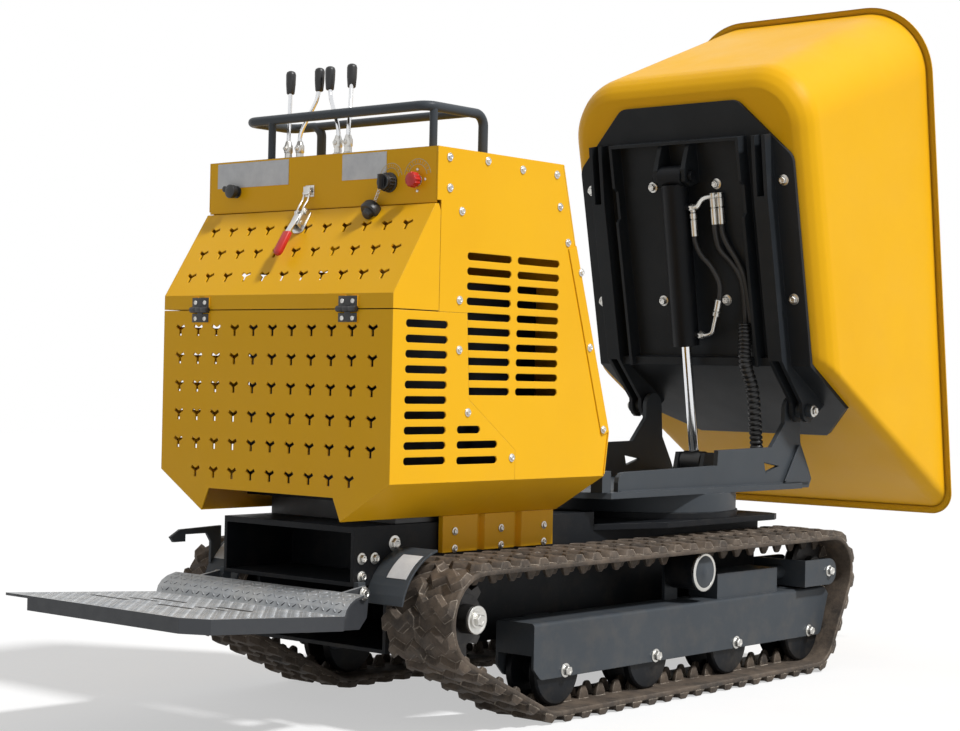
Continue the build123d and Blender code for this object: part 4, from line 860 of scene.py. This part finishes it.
# Stops of the two long hoses on the skip's base plate, as (x, y, height off the plate), and of
# the short hose and the pipes beside the barrel, as (down the ram, outwards, towards the cowl)
HOSE_STOPS = (
    ((-430, -100, 16), (-392, -128, 9.5), (-362, -147, 8.6), (-318, -155, 8.6), (-240, -154, 8.6),
     (CROSS_MEMBER, -150, 8.6)),
    ((-440, -122, 12), (-392, -148, 8.6), (-345, -163, 8.6), (-240, -170, 8.6),
     (CROSS_MEMBER, -168, 8.6)))
UPPER_PIPE = ((80, 54, 0), (78, 62, -3), (60, 74, -12), (56, 96, -25), (55.5, 112, -33))
LOWER_PIPE = ((405, 52, 0), (405, 68, 0), (398, 80, -2), (376, 88, -3), (356, 94, -4))
SHORT_HOSE = ((200, 60, -6), (232, 86, -10), (272, 108, -9))
LONG_HOSE_R, SHORT_HOSE_R = 7.6, 6.6


def ram_lines():
    """Elbows on the ram's ports, and the hoses that run on to the corrugated sleeve."""
    clevis, eye = tipped(CLEVIS[0], 0, CLEVIS[1]), at(EYE[0], 0, EYE[1])
    along = (eye - clevis).normalized()
    side = Vector((0, -1, 0))
    out = side.cross(along).normalized()
    out = out if out.x < 0 else -out
    fittings, hoses = Mesh("ram_fittings"), Mesh("ram_feed_hoses")

    def spot(down, outward, rise=0.0):
        return clevis + along * (down / 1000) + side * (outward / 1000) + out * (rise / 1000)

    def hose_end(start, turn, nut=22.0, crimp=66.0):
        profile = [(0, 9.4), (nut, 9.4), (nut + 0.6, 7), (nut + 3, 7), (nut + 3.6, 9), (crimp, 9),
                   (crimp + 1, 8)]
        fittings.turned(start, turn, profile, 14)
        return start + turn * (crimp / 1000)

    upper, lower = PORTS
    fittings.bolt(at(EYE[0], -30, EYE[1]), side, 24, 10, 17)
    fittings.turned(spot(upper, PORT_REACH), side, [(0, 11), (9, 11), (9.5, 7.5), (13, 7.5)], 6)
    fittings.tube(smooth_line([spot(*stop) for stop in UPPER_PIPE]), 6.4, 12)
    ends = []
    for outward, rise in ((96, -25), (112, -33)):
        fittings.turned(spot(46, outward, rise), along, [(0, 6), (1, 8.6), (13, 8.6), (14, 7)], 14)
        ends.append(hose_end(spot(60, outward, rise), along))
    fittings.turned(spot(84, 50), along, [(0, 7), (1, 8), (8, 8), (9, 6)], 12)
    third = hose_end(spot(94, 50), along, 14.0, 58.0)
    fittings.turned(spot(lower, PORT_REACH), side, [(0, 11), (8, 11), (8.5, 8), (12, 8)], 6)
    fittings.tube(smooth_line([spot(*stop) for stop in LOWER_PIPE]), 5.2, 12)
    foot = spot(*LOWER_PIPE[-1])
    rise = (spot(318, 106, -4) - foot).normalized()
    tip = hose_end(foot, rise, 10.0, 42.0)
    for start, stops in zip(ends, HOSE_STOPS):
        line = [start - along * 0.006, start + along * 0.02]
        line += [tipped(x, y, BASE_BOTTOM - lift) for x, y, lift in stops]
        hoses.tube(smooth_line(line, 10), LONG_HOSE_R, 16)
    line = [third - along * 0.006, third + along * 0.014] + [spot(*stop) for stop in SHORT_HOSE]
    line += [tip + rise * 0.012, tip - rise * 0.006]
    hoses.tube(smooth_line(line, 10), SHORT_HOSE_R, 16)
    fittings.done("ram_barrel", "zinc_steel")
    hoses.done("skip", "hose_rubber", smooth=60.0, replaces=["ram_hoses"])


def sleeve():
    """Corrugated sleeve from the turret's floor over the hinge line to the skip's frame."""
    mesh = Mesh("sleeve")
    rising = ((1545, 453.4), (1545, 482), (1538, 545), (1528, 612), (1513, 690))
    route = [at(x, SLEEVE_Y, z) for x, z in rising]
    route += [tipped(-142, SLEEVE_Y, BASE_BOTTOM - 46), tipped(-196, SLEEVE_Y, BASE_BOTTOM - 38),
              tipped(-240, -160, BASE_BOTTOM - 26)]
    line = smooth_line(route, 16)
    mesh.tube(line, 16, 20, radii=[(13.6, 16.8, 16.8)[i % 3] for i in range(len(line))])
    piece = mesh.done(None, "black_plastic", smooth=25.0, replaces=["hose_sleeve"])
    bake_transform(piece)


# Turret

TURRET_TOP, SLEW_X = 453.0, 1250.0
RING_BOLTS, RING_BOLT_R = 24, 165.0


def bead(mesh, start, end, radius=3.2, step=3.5):
    """Weld bead with its ripples."""
    length = (end - start).length * 1000
    count = max(4, int(length / step))
    points = [start.lerp(end, i / count) for i in range(count + 1)]
    mesh.tube(points, radius, 8, radii=[radius * (1.0 if i % 2 else 0.86) for i in range(count + 1)])


def turret_detail():
    welds, bolts = Mesh("turret_welds"), Mesh("turret_bolts")
    for side in (-1, 1):
        bead(welds, at(1641, side * 228, 549), at(1576, side * 228, 458))
        bead(welds, at(880, side * 222, TURRET_TOP), at(1696, side * 222, TURRET_TOP), 2.6)
        bead(welds, at(1470, side * 34, TURRET_TOP), at(1540, side * 34, TURRET_TOP), 2.6)
        bolts.bolt(at(HINGE[0], side * 284, HINGE[1]), (0, side, 0), 19, 9, 15)
    for k in range(RING_BOLTS):
        a = 2 * math.pi * (k + 0.5) / RING_BOLTS
        x, y = SLEW_X + RING_BOLT_R * math.cos(a), RING_BOLT_R * math.sin(a)
        bolts.bolt(at(x, y, TURRET_TOP), (0, 0, 1), 13, 8, 10)
    welds.done("turret", "charcoal_steel", smooth=60.0)
    bolts.done("turret", "zinc_steel")


# Platform

DECK_LINE = ((-430.0, 274.0), (-54.0, 250.0))
KICK_LINE = ((-50.0, 262.0), (-40.0, 273.0), (-26.0, 281.0), (-2.0, 287.0))
DECK_SLOTS = ((-273, 105, 201), (-273, -83, 3), (-231, 67, 139), (-231, -122, -56),
              (-188, 33, 122), (-188, -154, -71))
SLOT_R = 7.0
DECK_CORNER = ((-430, 232, 274), (-389, 273, 271.4), (-428, 273, 273.9), (-430, 271, 274))
CHEQUER_PITCH, PAD_LONG, PAD_WIDE, PAD_HIGH = 15.6, 6.4, 2.3, 1.2
CHEQUER_ROWS, CHEQUER_COLUMNS, KICK_ROWS = 23, 34, 4


def deck_z(x):
    (x0, z0), (x1, z1) = DECK_LINE
    return z0 + (z1 - z0) * (x - x0) / (x1 - x0)


def deck_detail():
    pads, slot_shade = Mesh("chequer"), Mesh("deck_slot_shade")
    slope = math.atan2(DECK_LINE[1][1] - DECK_LINE[0][1], DECK_LINE[1][0] - DECK_LINE[0][0])

    def pad(place, turn):
        rings = []
        for out, share in ((-0.3, 1.0), (PAD_HIGH * 0.6, 0.86), (PAD_HIGH, 0.55)):
            ring = []
            for k in range(10):
                t = 2 * math.pi * k / 10
                a, b = PAD_LONG * math.cos(t) * share, PAD_WIDE * math.sin(t) * share
                ring.append(place(a * math.cos(turn) - b * math.sin(turn),
                                  a * math.sin(turn) + b * math.cos(turn), out))
            rings.append(ring)
        pads.rings(rings)

    middle = (CHEQUER_COLUMNS - 1) / 2
    for i in range(CHEQUER_ROWS):
        for j in range(CHEQUER_COLUMNS):
            x = -424 + (i + 0.5) * CHEQUER_PITCH
            y = (j - middle) * CHEQUER_PITCH
            if abs(y) + 8 > 273 or x > -62 or (-430 + 40 - x) + abs(y) > 273 - 14:
                continue
            if any(abs(x - sx) < 12 and y0 - 13 < y < y1 + 13 for sx, y0, y1 in DECK_SLOTS):
                continue

            def on_deck(a, b, out, x=x, y=y):
                px = x + a * math.cos(slope)
                return at(px - out * math.sin(slope), y + b, deck_z(px) + out * math.cos(slope))
            pad(on_deck, math.radians(45 if (i + j) % 2 else -45))
    for k in range(KICK_ROWS):
        for j in range(CHEQUER_COLUMNS):
            along = 9 + k * CHEQUER_PITCH
            y = (j - middle) * CHEQUER_PITCH

            def on_kick(a, b, out, y=y, along=along):
                s = along + a
                points = [DECK_LINE[1]] + list(KICK_LINE)
                for (xa, za), (xb, zb) in zip(points, points[1:]):
                    length = math.dist((xa, za), (xb, zb))
                    if s <= length or (xb, zb) == points[-1]:
                        break
                    s -= length
                dx, dz = (xb - xa) / length, (zb - za) / length
                return at(xa + dx * s - dz * out, y + b, za + dz * s + dx * out)
            pad(on_kick, math.radians(45 if (k + j) % 2 else -45))
    # Dark inlays in the slots: painted shade, where the real slots are open holes in the plate
    for sx, y0, y1 in DECK_SLOTS:
        outline = []
        for cy, base in ((y1, 0), (y0, 180)):
            for k in range(7):
                t = math.radians(base + 180 * k / 6)
                x, y = sx + SLOT_R * math.cos(t), cy + SLOT_R * math.sin(t)
                outline.append(at(x, y, deck_z(x)))
        slot_shade.slab(outline, (0, 0, 0.0004), 2.0, 0.4)
    corner = [at(x, y, z) for x, y, z in DECK_CORNER]
    pads.rings([[p - Vector((0, 0, 0.005)) for p in corner], corner])
    pads.done("platform", "deck_steel", smooth=50.0)
    slot_shade.done("platform", "black_steel", PAINTED_SHADE)
    bolts = Mesh("platform_bolts")
    for side in (-1, 1):
        bolts.bolt(at(-20, side * 210, 262), (0, side, 0), 13, 7, 10)
    bolts.done("platform", "zinc_steel")


GUARD_PLATE_R, GUARD_PLATE_THICK = 138.6, 0.8


def fender_plates():
    """Blank plates on the two guards, bent to their sheet."""
    plates = Mesh("guard_plates")

    def on_guard(radius, a, y):
        return at(SPROCKET[0] + radius * math.cos(a), y, SPROCKET[1] + radius * math.sin(a))

    inner = GUARD_PLATE_R - GUARD_PLATE_THICK
    for y0, y1 in ((-278, -226), (232, 280)):
        rows = []
        for k in range(9):
            a = math.radians(118 + 27 * k / 8)
            rows.append([on_guard(GUARD_PLATE_R, a, y) for y in (y0, y1)]
                        + [on_guard(inner, a, y) for y in (y1, y0)])
        plates.rings(rows)
    plates.done("chassis", "zinc_steel", LABEL)


NODE_FINISH = {"skip_tub": TUB, "skip_frame": FRAME, "ram_barrel": M["black_steel"], "ram_rod": ram_steel(),
               "road_rollers_left": M["black_steel"], "road_rollers_right": M["black_steel"]}

camera()
surroundings()
for row in frame["record"]["subparts"]:
    node = frame["nodes"][row["node"]]
    node.data.materials.clear()
    node.data.materials.append(NODE_FINISH.get(row["node"], M[row["material_slot"]]))
for side in (-1, 1):
    track(side)
run_gear()
cowl_bolts()
hatch_hinges()
console_plates()
console_controls()
lever_set()
hatch_latch()
skip_fasteners()
ram_lines()
sleeve()
turret_detail()
deck_detail()
fender_plates()
bpy.context.scene.view_settings.view_transform = "Standard"
